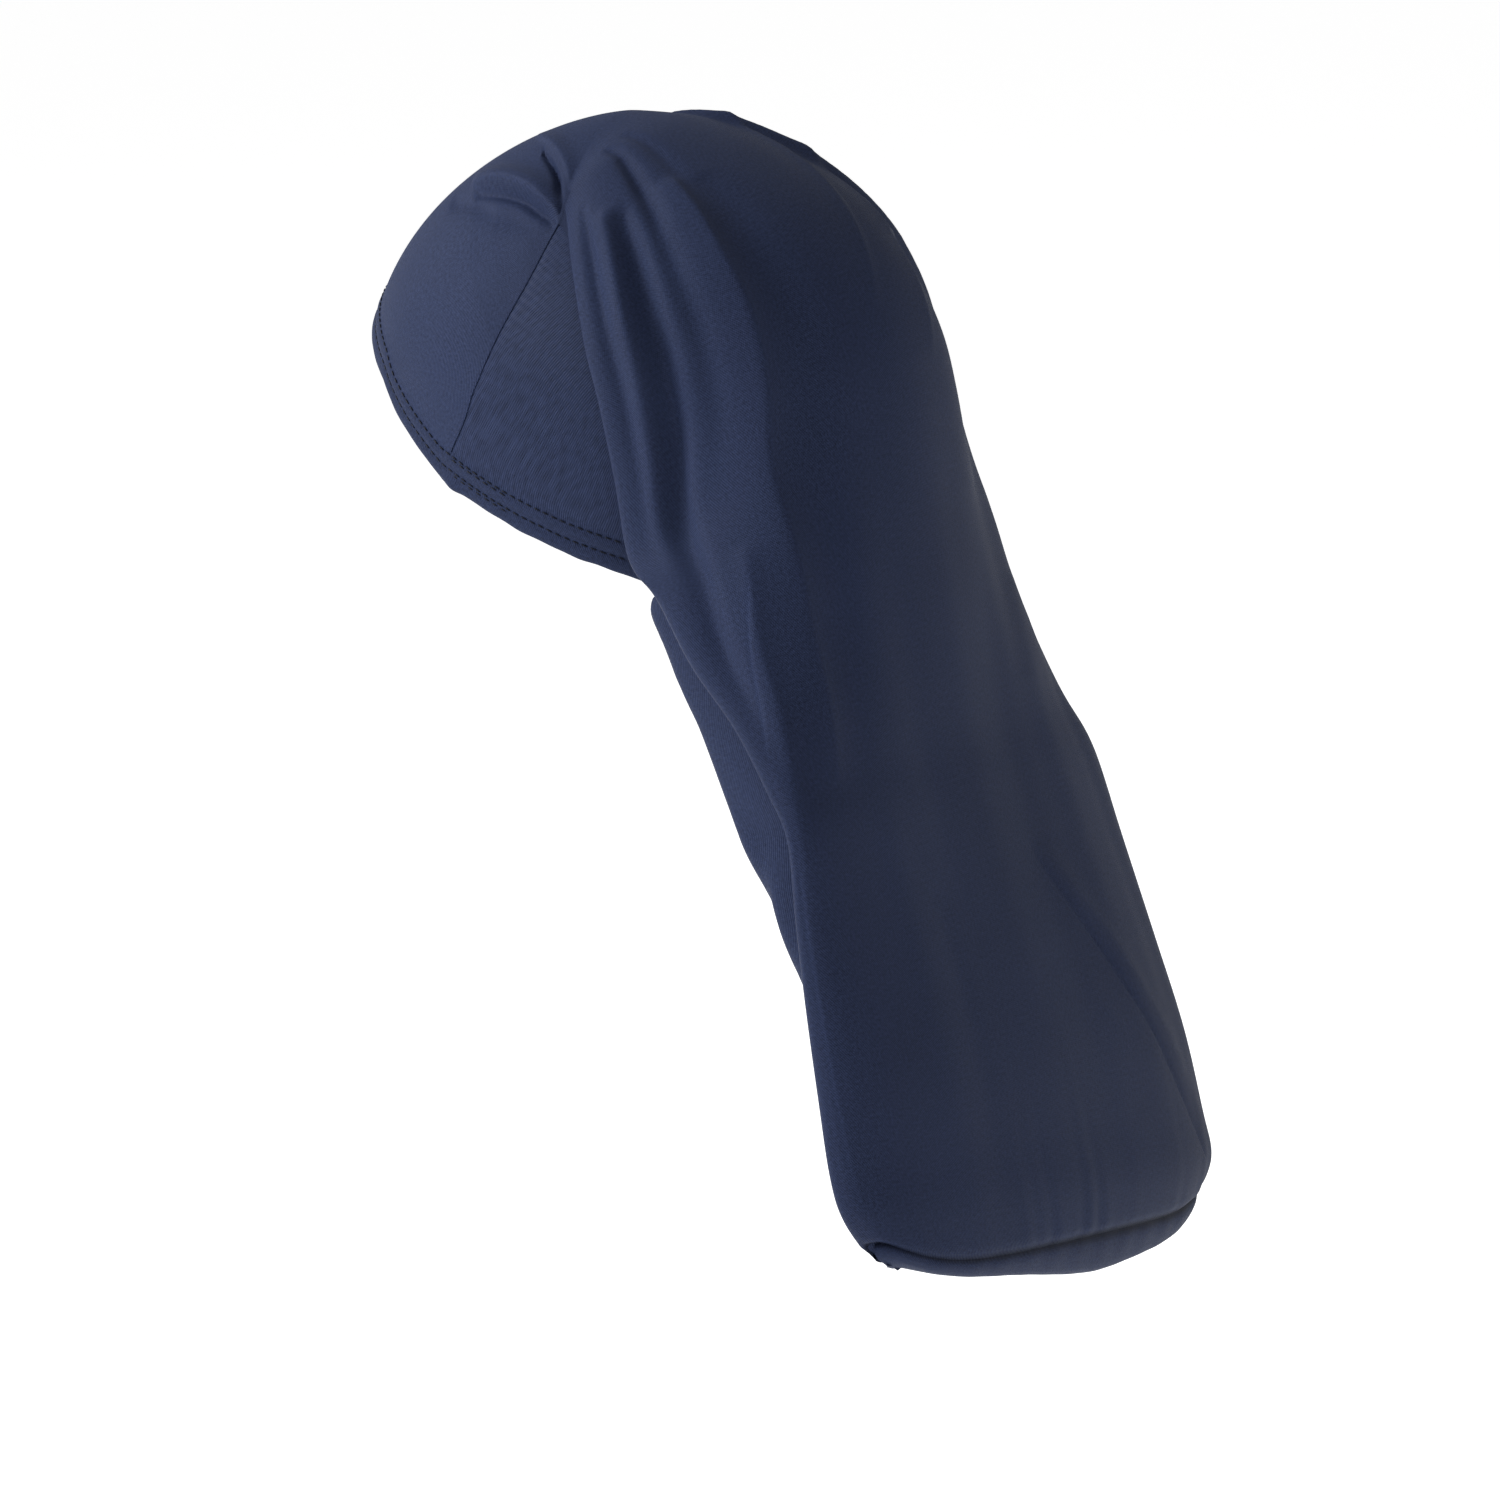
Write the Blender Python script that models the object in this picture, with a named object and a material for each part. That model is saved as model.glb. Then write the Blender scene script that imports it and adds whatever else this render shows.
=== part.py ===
"""Long sleep bonnet: a jersey cap with a long hair bag hanging down the back.

The wearer faces -Y, the wearer's left is +X and +Z is up. The origin is the inside of the
crown's top, where the top of the head bears. Lengths are in metres.
"""
import math
from collections import namedtuple

import bmesh
import bpy
import numpy as np

# Head form, measured inside the cloth
HEAD_WIDTH = 0.1526
HEAD_LENGTH = 0.1926
CROWN_HEIGHT = 0.0890
HEAD_TAPER = 0.1490
CROWN_POINT = 1.15

# Cloth
WALL = 0.0012
GAP = 0.0003
SEAM_GAP = 0.0005
TIP_GAP = 0.0012
CORNER_GAP = 0.0028
BOTTOM_GAP = WALL + 0.0008

# Hem
HEM_HEIGHT = 0.0125
HEM_THICK = 0.0026
HEM_BUMP = 0.0010

# Hair bag
BAG_LIFT = 0.0100
BAG_BACK = 0.0720
BAG_DROP = 0.2815
BAG_WIDTH = 0.2400
BAG_DEPTH = 0.0720
BAG_TILT = math.radians(17.0)
APEX_TURN = 87.0
BAG_ROLL = math.radians(7.4)
BAG_YAW = math.radians(7.0)
LIP_INSET = 0.0075
LIP_LENGTH = 0.0110
LIP_BEND = 0.8
LIP_CLEAR = GAP + 0.0004
LIP_LIFT = 0.0012
FOLD_CLEAR = WALL + GAP + 0.0004
CRESCENT = 0.0145
CRESCENT_PLACE = -0.2
CRESCENT_POWER = 1.4
CORNER_SAG = 0.0030
CORNER_RISE = 0.0140
CORNER_POWER = 6
FOLD_HEIGHT = 0.0060
FOLD_MARGIN = 0.15

# Mesh density
MAIN_COLUMNS = 16
LIP_COLUMNS = 5
FRONT_ROWS = 8
BAG_ROWS = 25
UNDER_COLUMNS = 16
UNDER_ROWS = 17
WRAP_ROWS = 6
BAND_COLUMNS = 18

# Outer half sizes of the cloth on the head
HALF_WIDTH = HEAD_WIDTH / 2 + WALL
HALF_LENGTH = HEAD_LENGTH / 2 + WALL
CENTRE_Z = -CROWN_HEIGHT

# The way forwards and down that the bag's sections point
FORWARD = np.array([0.0, -math.cos(BAG_TILT), -math.sin(BAG_TILT)])

# Longitude runs from the forehead (0) over the wearer's left ear (90) to the nape (180).
# Latitude is 0 at the widest level of the head.
Mark = namedtuple("Mark", "lon lat")
HEM_LINE = [Mark(0, 13.0), Mark(18, 11.0), Mark(33, 5.0), Mark(48, -3.5), Mark(64, -11.3),
            Mark(89, -18.6), Mark(110, -23.2), Mark(140, -27.5), Mark(180, -30.0)]
SIDE_SEAM = [Mark(66.8, -7.2), Mark(72.7, -0.6), Mark(79.2, 14.2), Mark(84.0, 26.5),
             Mark(87.1, 38.6)]
HIDDEN_SEAM = [Mark(87.1, 38.6), Mark(97.0, 31.0), Mark(103.5, 13.0), Mark(107.5, 0.0),
               Mark(111.0, -9.0), Mark(116.0, -15.0), Mark(140, -18.0), Mark(180, -20.0)]

# The share of the side seam that the side band reaches, just under the fold's start, and
# the place along HIDDEN_SEAM where its top begins
BAND_REACH = 0.935
BAND_START = 0.1

# The mark of HIDDEN_SEAM from which on the under panel, and not the fold, is sewn to it,
# how far below the nape hem the fold still keeps clear of the head, the angle that the
# under panel stays short of the fold, and its lifts over the nape from the seam down
NAPE_MARK = 5
NAPE_REACH = 0.0039
NAPE_INSET = 3.0
NAPE_LIFTS = (0.0005, 0.0030, 0.0042)

# Rows of the bag where the head backs it. turn is the angle over the crown from the
# forehead, spine and edge are shares of BAG_LIFT, round is 1 for an ellipse and less for
# a boxier section, seam is the place of the turned-under edge along HIDDEN_SEAM.
Crown = namedtuple("Crown", "turn spine lon lat edge round seam")
CROWN_ROWS = [
    Crown(100, 0.00, 90.0, 42.5, 0.50, 1.10, 0.25),
    Crown(118, 0.05, 96.5, 28.3, 0.90, 1.10, 1.30),
    Crown(136, 0.30, 100.9, 12.6, 1.00, 1.05, 2.10),
    Crown(152, 0.52, 103.9, 1.3, 1.00, 1.00, 3.00),
    Crown(166, 0.70, 106.6, -7.6, 1.10, 0.93, 3.90),
    Crown(180, 0.85, 109.6, -17.0, 1.80, 0.86, 4.90),
]

# Rows of the bag below the head, as shares: back of BAG_BACK, drop of BAG_DROP, half of
# half BAG_WIDTH, depth of BAG_DEPTH, lip of LIP_LENGTH, skew of BAG_ROLL and BAG_YAW,
# bow of CORNER_RISE.
Hang = namedtuple("Hang", "back drop half depth round lip skew bow")
HANG_ROWS = [
    Hang(0.190, 0.149, 0.783, 0.860, 0.80, 0.95, 0.00, 0.0),
    Hang(0.245, 0.232, 0.833, 0.640, 0.84, 0.90, 0.02, 0.0),
    Hang(0.300, 0.315, 0.883, 0.440, 0.90, 0.65, 0.06, 0.0),
    Hang(0.360, 0.400, 0.933, 0.270, 0.96, 0.42, 0.12, 0.0),
    Hang(0.430, 0.460, 0.962, 0.260, 0.96, 0.38, 0.22, 0.0),
    Hang(0.549, 0.560, 0.980, 0.310, 0.88, 0.40, 0.38, 0.0),
    Hang(0.694, 0.668, 0.990, 0.335, 0.85, 0.42, 0.58, 0.0),
    Hang(0.826, 0.776, 1.000, 0.345, 0.85, 0.40, 0.78, 0.0),
    Hang(0.908, 0.877, 0.996, 0.345, 0.85, 0.38, 0.92, 0.1),
    Hang(0.958, 0.940, 0.985, 0.340, 0.87, 0.30, 0.94, 0.4),
    Hang(0.961, 0.988, 0.930, 0.306, 0.90, 0.15, 0.80, 1.0),
]

# Rows of the under panel, one for each of HANG_ROWS: corner is its side corner as a share
# of the row's half width, ahead its place before the fold edge as a share of BAG_DEPTH,
# mid_back and mid_drop the middle as shares of BAG_BACK and BAG_DROP, and full the power of
# the curve between them.
Under = namedtuple("Under", "corner ahead mid_back mid_drop full")
UNDER_TABLE = [
    Under(0.830, 0.190, 0.075, 0.285, 2.6),
    Under(0.850, 0.300, 0.060, 0.345, 2.6),
    Under(0.872, 0.380, 0.060, 0.430, 2.6),
    Under(0.884, 0.390, 0.110, 0.515, 2.8),
    Under(0.900, 0.310, 0.150, 0.575, 3.0),
    Under(0.915, 0.110, 0.235, 0.655, 3.0),
    Under(0.915, 0.030, 0.330, 0.750, 3.2),
    Under(0.915, 0.020, 0.430, 0.840, 3.4),
    Under(0.915, 0.020, 0.510, 0.920, 3.6),
    Under(0.910, 0.010, 0.590, 0.955, 3.8),
    Under(0.900, 0.000, 0.650, 0.988, 3.8),
]

# Main folds of the outer panel: (u, v) of both ends, a sideways bend, the height as a
# share of FOLD_HEIGHT (valleys are negative) and the half width in u. u runs from -1 at
# the right edge to 1 at the left one. v runs from -1 at the forehead hem over 0 at the
# apex of the side seams to 1 at the bottom seam.
Fold = namedtuple("Fold", "u0 v0 u1 v1 bend height width")
FOLDS = [
    Fold(0.42, -0.50, 1.02, 0.03, 0.00, -0.42, 0.050),
    Fold(0.40, -0.34, 0.96, 0.04, 0.03, 0.40, 0.070),
    Fold(0.26, -0.28, 0.88, 0.06, 0.03, -0.30, 0.050),
    Fold(-0.38, -0.46, -1.02, 0.03, 0.00, -0.40, 0.050),
    Fold(-0.34, -0.32, -0.94, 0.05, -0.03, 0.40, 0.070),
    Fold(0.88, 0.02, 0.84, 0.42, 0.02, -0.55, 0.060),
    Fold(0.77, 0.02, 0.73, 0.46, 0.03, 0.60, 0.070),
    Fold(0.66, 0.03, 0.60, 0.40, 0.02, -0.60, 0.070),
    Fold(0.52, 0.04, 0.50, 0.55, 0.02, 0.55, 0.090),
    Fold(-0.30, 0.00, -0.62, 0.42, -0.05, 0.70, 0.090),
    Fold(-0.44, 0.03, -0.74, 0.34, -0.02, -0.55, 0.060),
    Fold(-0.58, 0.02, -0.88, 0.44, -0.02, 0.60, 0.070),
]


def smooth_table(marks, value):
    """Value of a smooth curve through a table's marks, at a place counted in rows."""
    count = len(marks)
    value = min(max(value, 0.0), count - 1.0)
    low = min(int(value), count - 2)
    share = value - low
    points = [np.array(marks[min(max(low + step, 0), count - 1)], float)
              for step in (-1, 0, 1, 2)]
    if low == 0:
        points[0] = 2 * points[1] - points[2]
    if low == count - 2:
        points[3] = 2 * points[2] - points[1]
    return cubic(points, share)


def cubic(points, share):
    """Catmull-Rom value between the second and third of four points."""
    before, first, second, after = points
    return 0.5 * (2 * first + (second - before) * share
                  + (2 * before - 5 * first + 4 * second - after) * share ** 2
                  + (3 * first - before - 3 * second + after) * share ** 3)


def even(points, count):
    """The same line with count points an even distance apart."""
    points = np.array(points, float)
    steps = np.linalg.norm(np.diff(points, axis=0), axis=1)
    along = np.concatenate([[0.0], np.cumsum(steps)])
    wanted = np.linspace(0.0, along[-1], count)
    return np.stack([np.interp(wanted, along, points[:, axis]) for axis in range(3)], 1)


def smooth_line(points, count):
    """A smooth line through a few points, with evenly spaced points."""
    dense = [smooth_table(points, place)
             for place in np.linspace(0, len(points) - 1, 12 * len(points))]
    return even(dense, count)


def loft(rows, count):
    """Rows of points an even distance apart on a smooth surface through the given rows."""
    rows = np.array(rows)
    steps = np.linalg.norm(np.diff(rows, axis=0), axis=2).mean(axis=1)
    along = np.concatenate([[0.0], np.cumsum(steps)])
    out = []
    for wanted in np.linspace(0.0, along[-1], count):
        place = np.interp(wanted, along, np.arange(len(rows)))
        out.append(smooth_rows(rows, place))
    return np.array(out)


def smooth_rows(rows, place):
    """One row of a smooth surface, at a place counted in the given rows."""
    count = len(rows)
    low = min(int(place), count - 2)
    before = rows[low - 1] if low > 0 else 2 * rows[0] - rows[1]
    after = rows[low + 2] if low < count - 2 else 2 * rows[-1] - rows[-2]
    return cubic([before, rows[low], rows[low + 1], after], place - low)


def rise_of(height):
    """Half height of the head form above or below its widest level."""
    return (CROWN_HEIGHT if height > 0 else HEAD_TAPER) + WALL


def head_point(lon, lat, lift=0.0):
    """A point on the cloth of the head, lifted outwards."""
    lon = math.radians(lon)
    lat = math.radians(lat)
    rise = rise_of(lat) + lift
    level = math.cos(lat) ** (CROWN_POINT if lat > 0 else 1.0)
    return np.array([(HALF_WIDTH + lift) * level * math.sin(lon),
                     -(HALF_LENGTH + lift) * level * math.cos(lon),
                     CENTRE_Z + rise * math.sin(lat)])


def onto_head(side, turn, lift=0.0):
    """A point on the cloth of the head, by an angle to the side and one over the crown."""
    wide = math.sin(side)
    ahead = math.cos(side) * math.cos(turn)
    up = math.cos(side) * math.sin(turn)
    lon = math.degrees(math.atan2(wide, ahead))
    flat = math.hypot(wide, ahead)
    low, high = -math.pi / 2, math.pi / 2
    for _ in range(40):
        lat = (low + high) / 2
        level = math.cos(lat) ** (CROWN_POINT if lat > 0 else 1.0)
        if math.sin(lat) * flat < up * level:
            low = lat
        else:
            high = lat
    return head_point(lon, math.degrees(lat), lift)


def cleared(point, lift):
    """The point, pushed straight out from the head's middle if it is nearer than lift."""
    arm = point - np.array([0.0, 0.0, CENTRE_Z])
    wide = math.hypot(arm[0] / HALF_WIDTH, arm[1] / HALF_LENGTH)
    high = abs(arm[2]) / rise_of(arm[2])
    power = CROWN_POINT / 2 if arm[2] > 0 else 0.5
    low, top = 0.2, 4.0
    for _ in range(30):
        scale = (low + top) / 2
        if high * scale < 1.0 and wide * scale < (1.0 - (high * scale) ** 2) ** power:
            low = scale
        else:
            top = scale
    length = np.linalg.norm(arm)
    short = length * scale + lift - length
    return point + arm / length * max(short, 0.0)


def hem_lat(lon):
    """Latitude of the hem's lower edge."""
    place = np.interp(abs(lon), [mark.lon for mark in HEM_LINE], range(len(HEM_LINE)))
    return smooth_table(HEM_LINE, place)[1]


def lat_above(lon, height):
    """Latitude of a place a given height above the hem's lower edge."""
    level = head_point(lon, hem_lat(lon))[2] - CENTRE_Z + height
    return math.degrees(math.asin(level / rise_of(level)))


def side_seam(share):
    """Longitude and latitude on the side seam, from the hem band (0) to its apex (1)."""
    lon, lat = smooth_table(SIDE_SEAM, share * (len(SIDE_SEAM) - 1))
    foot = lat_above(SIDE_SEAM[0].lon, HEM_HEIGHT + GAP) - SIDE_SEAM[0].lat
    return lon, lat + foot * (1.0 - share) ** 2


def mirrored(half):
    """A whole row, right to left, from its left half that starts in the middle."""
    half = np.array(half)
    right = half[:0:-1] * np.array([-1.0, 1.0, 1.0])
    return np.concatenate([right, half])


def front_grid():
    """Points of the front panel from the forehead hem to the apex of the side seams."""
    columns = MAIN_COLUMNS + LIP_COLUMNS
    grid = []
    for row in range(FRONT_ROWS + 1):
        share = row / FRONT_ROWS
        edge_lon, edge_lat = side_seam(share)
        half = [front_point(share, column / columns, edge_lon, edge_lat)
                for column in range(columns)]
        half.append(head_point(edge_lon, edge_lat))
        grid.append(mirrored(half))
    return np.array(grid)


def front_point(share, across, edge_lon, edge_lat):
    """A point of the front panel, by its share of the way up and across to the seam."""
    hem_lon = edge_lon * across
    hem = (hem_lon, lat_above(hem_lon, HEM_HEIGHT + GAP))
    if share == 0.0:
        return head_point(*hem)
    level = math.cos(math.radians(edge_lat)) ** (CROWN_POINT if edge_lat > 0 else 1.0)
    wide = level * math.sin(math.radians(edge_lon))
    ahead = level * math.cos(math.radians(edge_lon))
    turn_edge = math.atan2(math.sin(math.radians(edge_lat)), ahead)
    side_edge = math.atan2(wide, math.hypot(ahead, math.sin(math.radians(edge_lat))))
    start = math.radians(lat_above(0.0, HEM_HEIGHT + GAP))
    turn_middle = start + (math.radians(APEX_TURN) - start) * share
    turn = turn_middle + (turn_edge - turn_middle) * across ** 2
    return onto_head(side_edge * across, turn)


def section(spine, edge, roundness):
    """Half a section of the outer face, from its middle line to its fold edge."""
    inward = np.array([0.0, edge[1] - spine[1], edge[2] - spine[2]])
    out = []
    for angle in np.linspace(0.0, math.pi / 2, 60):
        wide = math.sin(angle) ** roundness
        deep = 1.0 - math.cos(angle) ** roundness
        out.append(spine + np.array([edge[0] * wide, 0.0, 0.0]) + inward * deep)
    return even(out, MAIN_COLUMNS + 1)


def lip(main, end, guide):
    """The turned-under edge: a soft bend from the fold edge back to its seam."""
    fold_edge = main[-1]
    along = main[-1] - main[-2]
    along = along / np.linalg.norm(along)
    first = fold_edge + along * LIP_INSET * LIP_BEND
    line = []
    for step in np.linspace(0.0, 1.0, 30):
        rest = 1.0 - step
        line.append(fold_edge * rest ** 3 + first * 3 * rest ** 2 * step
                    + guide * 3 * rest * step ** 2 + end * step ** 3)
    return even(line, LIP_COLUMNS + 1)[1:]


def crown_row(row):
    """A whole row of the bag where the head backs it."""
    spine = onto_head(0.0, math.radians(row.turn), row.spine * BAG_LIFT)
    edge = head_point(row.lon, row.lat, row.edge * BAG_LIFT)
    main = section(spine, edge, row.round)
    seam = smooth_table(HIDDEN_SEAM, row.seam)
    end = head_point(seam[0], seam[1], GAP + WALL / 2)
    guide = head_point(row.lon, row.lat, GAP + LIP_LIFT)
    return mirrored(np.concatenate([main, lip(main, end, guide)]))


def skewed(points, row):
    """Points of a bag row rolled, turned and bowed up at the corners, as it hangs."""
    points = np.array(points)
    half = row.half * BAG_WIDTH / 2
    points[:, 2] += points[:, 0] * math.tan(BAG_ROLL) * row.skew
    corner = np.minimum(abs(points[:, 0]) / half, 1.0) ** CORNER_POWER
    points[:, 2] += CORNER_RISE * row.bow * corner
    points[:, 1] -= points[:, 0] * math.tan(BAG_YAW) * row.skew
    return points


def hang_spine(row):
    """Middle of the bag's outer face at one row."""
    return np.array([0.0, HALF_LENGTH + row.back * BAG_BACK, CENTRE_Z - row.drop * BAG_DROP])


def hang_edge(row):
    """Left fold edge of the bag at one row."""
    edge = hang_spine(row) + FORWARD * row.depth * BAG_DEPTH
    return edge + np.array([row.half * BAG_WIDTH / 2, 0.0, 0.0])


def seam_tip(row):
    """Where the outer panel's turned edge is sewn to the under panel."""
    inward = np.array([LIP_INSET, 0.0, 0.0])
    return hang_edge(row) - inward - FORWARD * row.lip * LIP_LENGTH


def hang_row(row):
    """A whole row of the bag below the head."""
    main = section(hang_spine(row), hang_edge(row), row.round)
    end = seam_tip(row)
    guide = end + FORWARD * (row.lip * LIP_LENGTH + LIP_INSET * LIP_BEND)
    return skewed(mirrored(np.concatenate([main, lip(main, end, guide)])), row)


def outer_grid():
    """Points of the outer panel's face, forehead to bottom, right to left."""
    front = front_grid()
    rows = [front[-1]]
    rows += [crown_row(row) for row in CROWN_ROWS]
    rows += [hang_row(row) for row in HANG_ROWS]
    grid = folded(np.concatenate([front[:-1], loft(rows, BAG_ROWS + 1)]))
    return clear_edges(grid)


def clear_edges(grid):
    """The grid with its turned edges kept clear of the side band and the hem."""
    lowest = head_point(180.0, HEM_LINE[-1].lat)[2] - NAPE_REACH
    for row in range(FRONT_ROWS + 1, len(grid)):
        for column in range(LIP_COLUMNS + 2):
            lift = LIP_CLEAR if column < LIP_COLUMNS else FOLD_CLEAR
            for place in (column, -1 - column):
                if grid[row, place, 2] > lowest:
                    grid[row, place] = cleared(grid[row, place], lift)
    return grid


def grid_normals(grid):
    """Normals of a grid of points, outward where rows go down and columns go left."""
    down = np.gradient(grid, axis=0)
    across = np.gradient(grid, axis=1)
    normals = np.cross(across, down)
    return normals / np.maximum(np.linalg.norm(normals, axis=2, keepdims=True), 1e-12)


def fold_field(across, along):
    """Height of the folds at a place on the outer panel, as a share."""
    total = 0.0
    for fold in FOLDS:
        share = (along - fold.v0) / (fold.v1 - fold.v0)
        if share <= 0.0 or share >= 1.0:
            continue
        middle = fold.u0 + (fold.u1 - fold.u0) * share + fold.bend * math.sin(math.pi * share)
        fade = math.sin(math.pi * share ** 0.6) ** 0.7
        total += fold.height * fade * math.exp(-((across - middle) / fold.width) ** 2)
    return total


def folded(grid):
    """The grid with the main folds pushed out of its face."""
    normals = grid_normals(grid)
    middle = MAIN_COLUMNS + LIP_COLUMNS
    for row in range(1, len(grid)):
        front = row <= FRONT_ROWS
        along = (row - FRONT_ROWS) / (FRONT_ROWS if front else BAG_ROWS)
        for column in range(2 * middle + 1):
            across = (column - middle) / (middle if front else MAIN_COLUMNS)
            if abs(across) < 1.0:
                height = fold_field(across, along) * FOLD_HEIGHT
                height *= min(1.0, (1.0 - abs(across)) / FOLD_MARGIN)
                grid[row, column] += normals[row, column] * height
    return grid


def under_half(tip, corner, middle, full):
    """Half a row of the under panel, from its middle to the seam with the outer panel."""
    points = []
    for share in (0.0, 0.25, 0.5, 0.72, 0.9):
        part = share ** full
        points.append([corner[0] * share, middle[1] + (corner[1] - middle[1]) * part,
                       middle[2] + (corner[2] - middle[2]) * part])
    points.append(corner)
    points.append(tip)
    return smooth_line(points, UNDER_COLUMNS + 1)


def under_rows():
    """Rows of the under panel, from the nape seam to the bottom seam on the rear face."""
    shares = np.linspace(0.0, 1.0, len(NAPE_LIFTS))
    rows = [nape_row(share, lift) for share, lift in zip(shares, NAPE_LIFTS)]
    for hang, under in zip(HANG_ROWS, UNDER_TABLE):
        tip = seam_tip(hang) - np.array([TIP_GAP + CORNER_GAP * hang.bow, 0.0, 0.0])
        corner = hang_edge(hang) + FORWARD * under.ahead * BAG_DEPTH
        corner[0] = under.corner * hang.half * BAG_WIDTH / 2
        middle = np.array([0.0, HALF_LENGTH + under.mid_back * BAG_BACK,
                           CENTRE_Z - under.mid_drop * BAG_DROP])
        half = under_half(tip, corner, middle, under.full)
        rows.append(skewed(mirrored(half), hang))
    return rows + wrap_rows(rows[-1])


def nape_row(share, lift):
    """A row round the nape, from the hidden seam down over the hem band."""
    marks = HIDDEN_SEAM[NAPE_MARK:]
    half = []
    for column in range(UNDER_COLUMNS + 1):
        side = column / UNDER_COLUMNS
        lon = 180.0 - (180.0 - marks[0].lon - NAPE_INSET) * side
        place = np.interp(lon, [mark.lon for mark in marks], range(len(marks)))
        top = smooth_table(HIDDEN_SEAM, NAPE_MARK + place)[1]
        lat = top + (hem_lat(lon) - top) * share * (1.0 - side ** CORNER_POWER)
        half.append(head_point(lon, lat, lift))
    return mirrored(half)


def wrap_rows(front):
    """Rows that carry the under panel round the bottom to the seam on the rear face."""
    bottom = hang_row(HANG_ROWS[-1])[LIP_COLUMNS:-LIP_COLUMNS]
    rear = even(bottom, 2 * UNDER_COLUMNS + 1) - np.array([0.0, 0.0, BOTTOM_GAP])
    side = np.linspace(-1.0, 1.0, len(rear))
    away = abs(side - CRESCENT_PLACE) / (1.0 - CRESCENT_PLACE * np.sign(side - CRESCENT_PLACE))
    sag = CORNER_SAG + (CRESCENT - CORNER_SAG) * (1.0 - away ** CRESCENT_POWER)
    rows = []
    for turn in np.radians([40.0, 80.0, 125.0, 180.0]):
        row = front + (rear - front) * (1.0 - math.cos(turn)) / 2
        row[:, 2] -= sag * math.sin(turn)
        rows.append(row)
    return rows


def under_grid():
    """Points of the under panel, nape to bottom and round to the bottom seam."""
    rows = np.array(under_rows())
    last = len(HANG_ROWS) + len(NAPE_LIFTS) - 1
    places = [*np.linspace(0, last, UNDER_ROWS + 1),
              *np.linspace(last, len(rows) - 1, WRAP_ROWS + 1)[1:]]
    return np.array([smooth_rows(rows, place) for place in places])


def band_grid():
    """Points of the side and nape panel, hem to top, right side seam round to the left."""
    marks = [np.array([*smooth_table(HIDDEN_SEAM, place), 0.0])
             for place in np.linspace(BAND_START, len(HIDDEN_SEAM) - 1, 60)]
    tops = even(marks, BAND_COLUMNS + 1)[::-1]
    grid = []
    for row in range(FRONT_ROWS + 1):
        share = row / FRONT_ROWS
        half = [band_point(share, column / BAND_COLUMNS, tops[column])
                for column in range(BAND_COLUMNS + 1)]
        grid.append(mirrored(half))
    return np.array(grid)[::-1]


def band_point(share, across, top):
    """A point of the side panel, by its share of the way up and from nape to side seam."""
    if across == 1.0:
        seam_lon, seam_lat = side_seam(share * BAND_REACH)
        return head_point(seam_lon + math.degrees(SEAM_GAP / HALF_LENGTH), seam_lat)
    low_lon = 180.0 + (SIDE_SEAM[0].lon - 180.0) * across
    low_lat = lat_above(low_lon, HEM_HEIGHT + GAP)
    lon = low_lon + (top[0] - low_lon) * share
    lat = low_lat + (top[1] - low_lat) * share
    return head_point(lon, lat)


def shell(name, grid, material, side=1.0):
    """A closed cloth wall: the grid's face, and its inner side one wall thickness in."""
    normals = grid_normals(grid) * side
    rows, columns = grid.shape[:2]
    mesh = bmesh.new()
    outer = [[mesh.verts.new(point) for point in line] for line in grid]
    inner = [[mesh.verts.new(point) for point in line] for line in grid - normals * WALL]
    for row in range(rows - 1):
        for column in range(columns - 1):
            quad = [(row, column), (row + 1, column), (row + 1, column + 1), (row, column + 1)]
            mesh.faces.new([outer[i][j] for i, j in quad])
            mesh.faces.new([inner[i][j] for i, j in reversed(quad)])
    border = [(row, 0) for row in range(rows)]
    border += [(rows - 1, column) for column in range(1, columns)]
    border += [(row, columns - 1) for row in range(rows - 2, -1, -1)]
    border += [(0, column) for column in range(columns - 2, 0, -1)]
    for (i, j), (k, l) in zip(border, border[1:] + border[:1]):
        mesh.faces.new([outer[i][j], inner[i][j], inner[k][l], outer[k][l]])
    return finish(name, mesh, material)


def finish(name, mesh, material):
    """The mesh as a smooth, closed, outward-facing object of the scene."""
    bmesh.ops.triangulate(mesh, faces=mesh.faces)
    bmesh.ops.recalc_face_normals(mesh, faces=mesh.faces)
    data = bpy.data.meshes.new(name)
    mesh.to_mesh(data)
    mesh.free()
    data.shade_smooth()
    data.materials.append(material)
    thing = bpy.data.objects.new(name, data)
    bpy.context.scene.collection.objects.link(thing)
    return thing


def hem_section(lon):
    """Closed outline of the hem band at one place, lower edge first."""
    seam = math.exp(-((abs(lon) - SIDE_SEAM[0].lon) / 3.0) ** 2) * HEM_BUMP
    proud = HEM_THICK - WALL
    points = []
    for height, lift in ((0.00, -0.5 * WALL), (0.05, 0.55 * proud), (0.30, 0.75 * proud),
                         (0.70, 0.55 * proud), (0.95, 0.10 * proud), (1.00, -0.3 * WALL),
                         (0.95, -WALL - 0.05 * proud), (0.50, -WALL - 0.25 * proud),
                         (0.06, -WALL - 0.20 * proud)):
        lat = lat_above(lon, height * HEM_HEIGHT)
        outward = lift + (seam if lift > 0 and height < 0.5 else 0.0)
        points.append(head_point(lon, lat, outward))
    return points


def hem_longitudes():
    """Places round the hem, the same as the columns of the panels above it."""
    corner = SIDE_SEAM[0].lon
    front = corner * np.arange(MAIN_COLUMNS + LIP_COLUMNS) / (MAIN_COLUMNS + LIP_COLUMNS)
    rear = 180.0 + (corner - 180.0) * np.arange(BAND_COLUMNS + 1)[::-1] / BAND_COLUMNS
    left = np.concatenate([front, rear])
    return np.concatenate([left, -left[-2:0:-1]])


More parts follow.
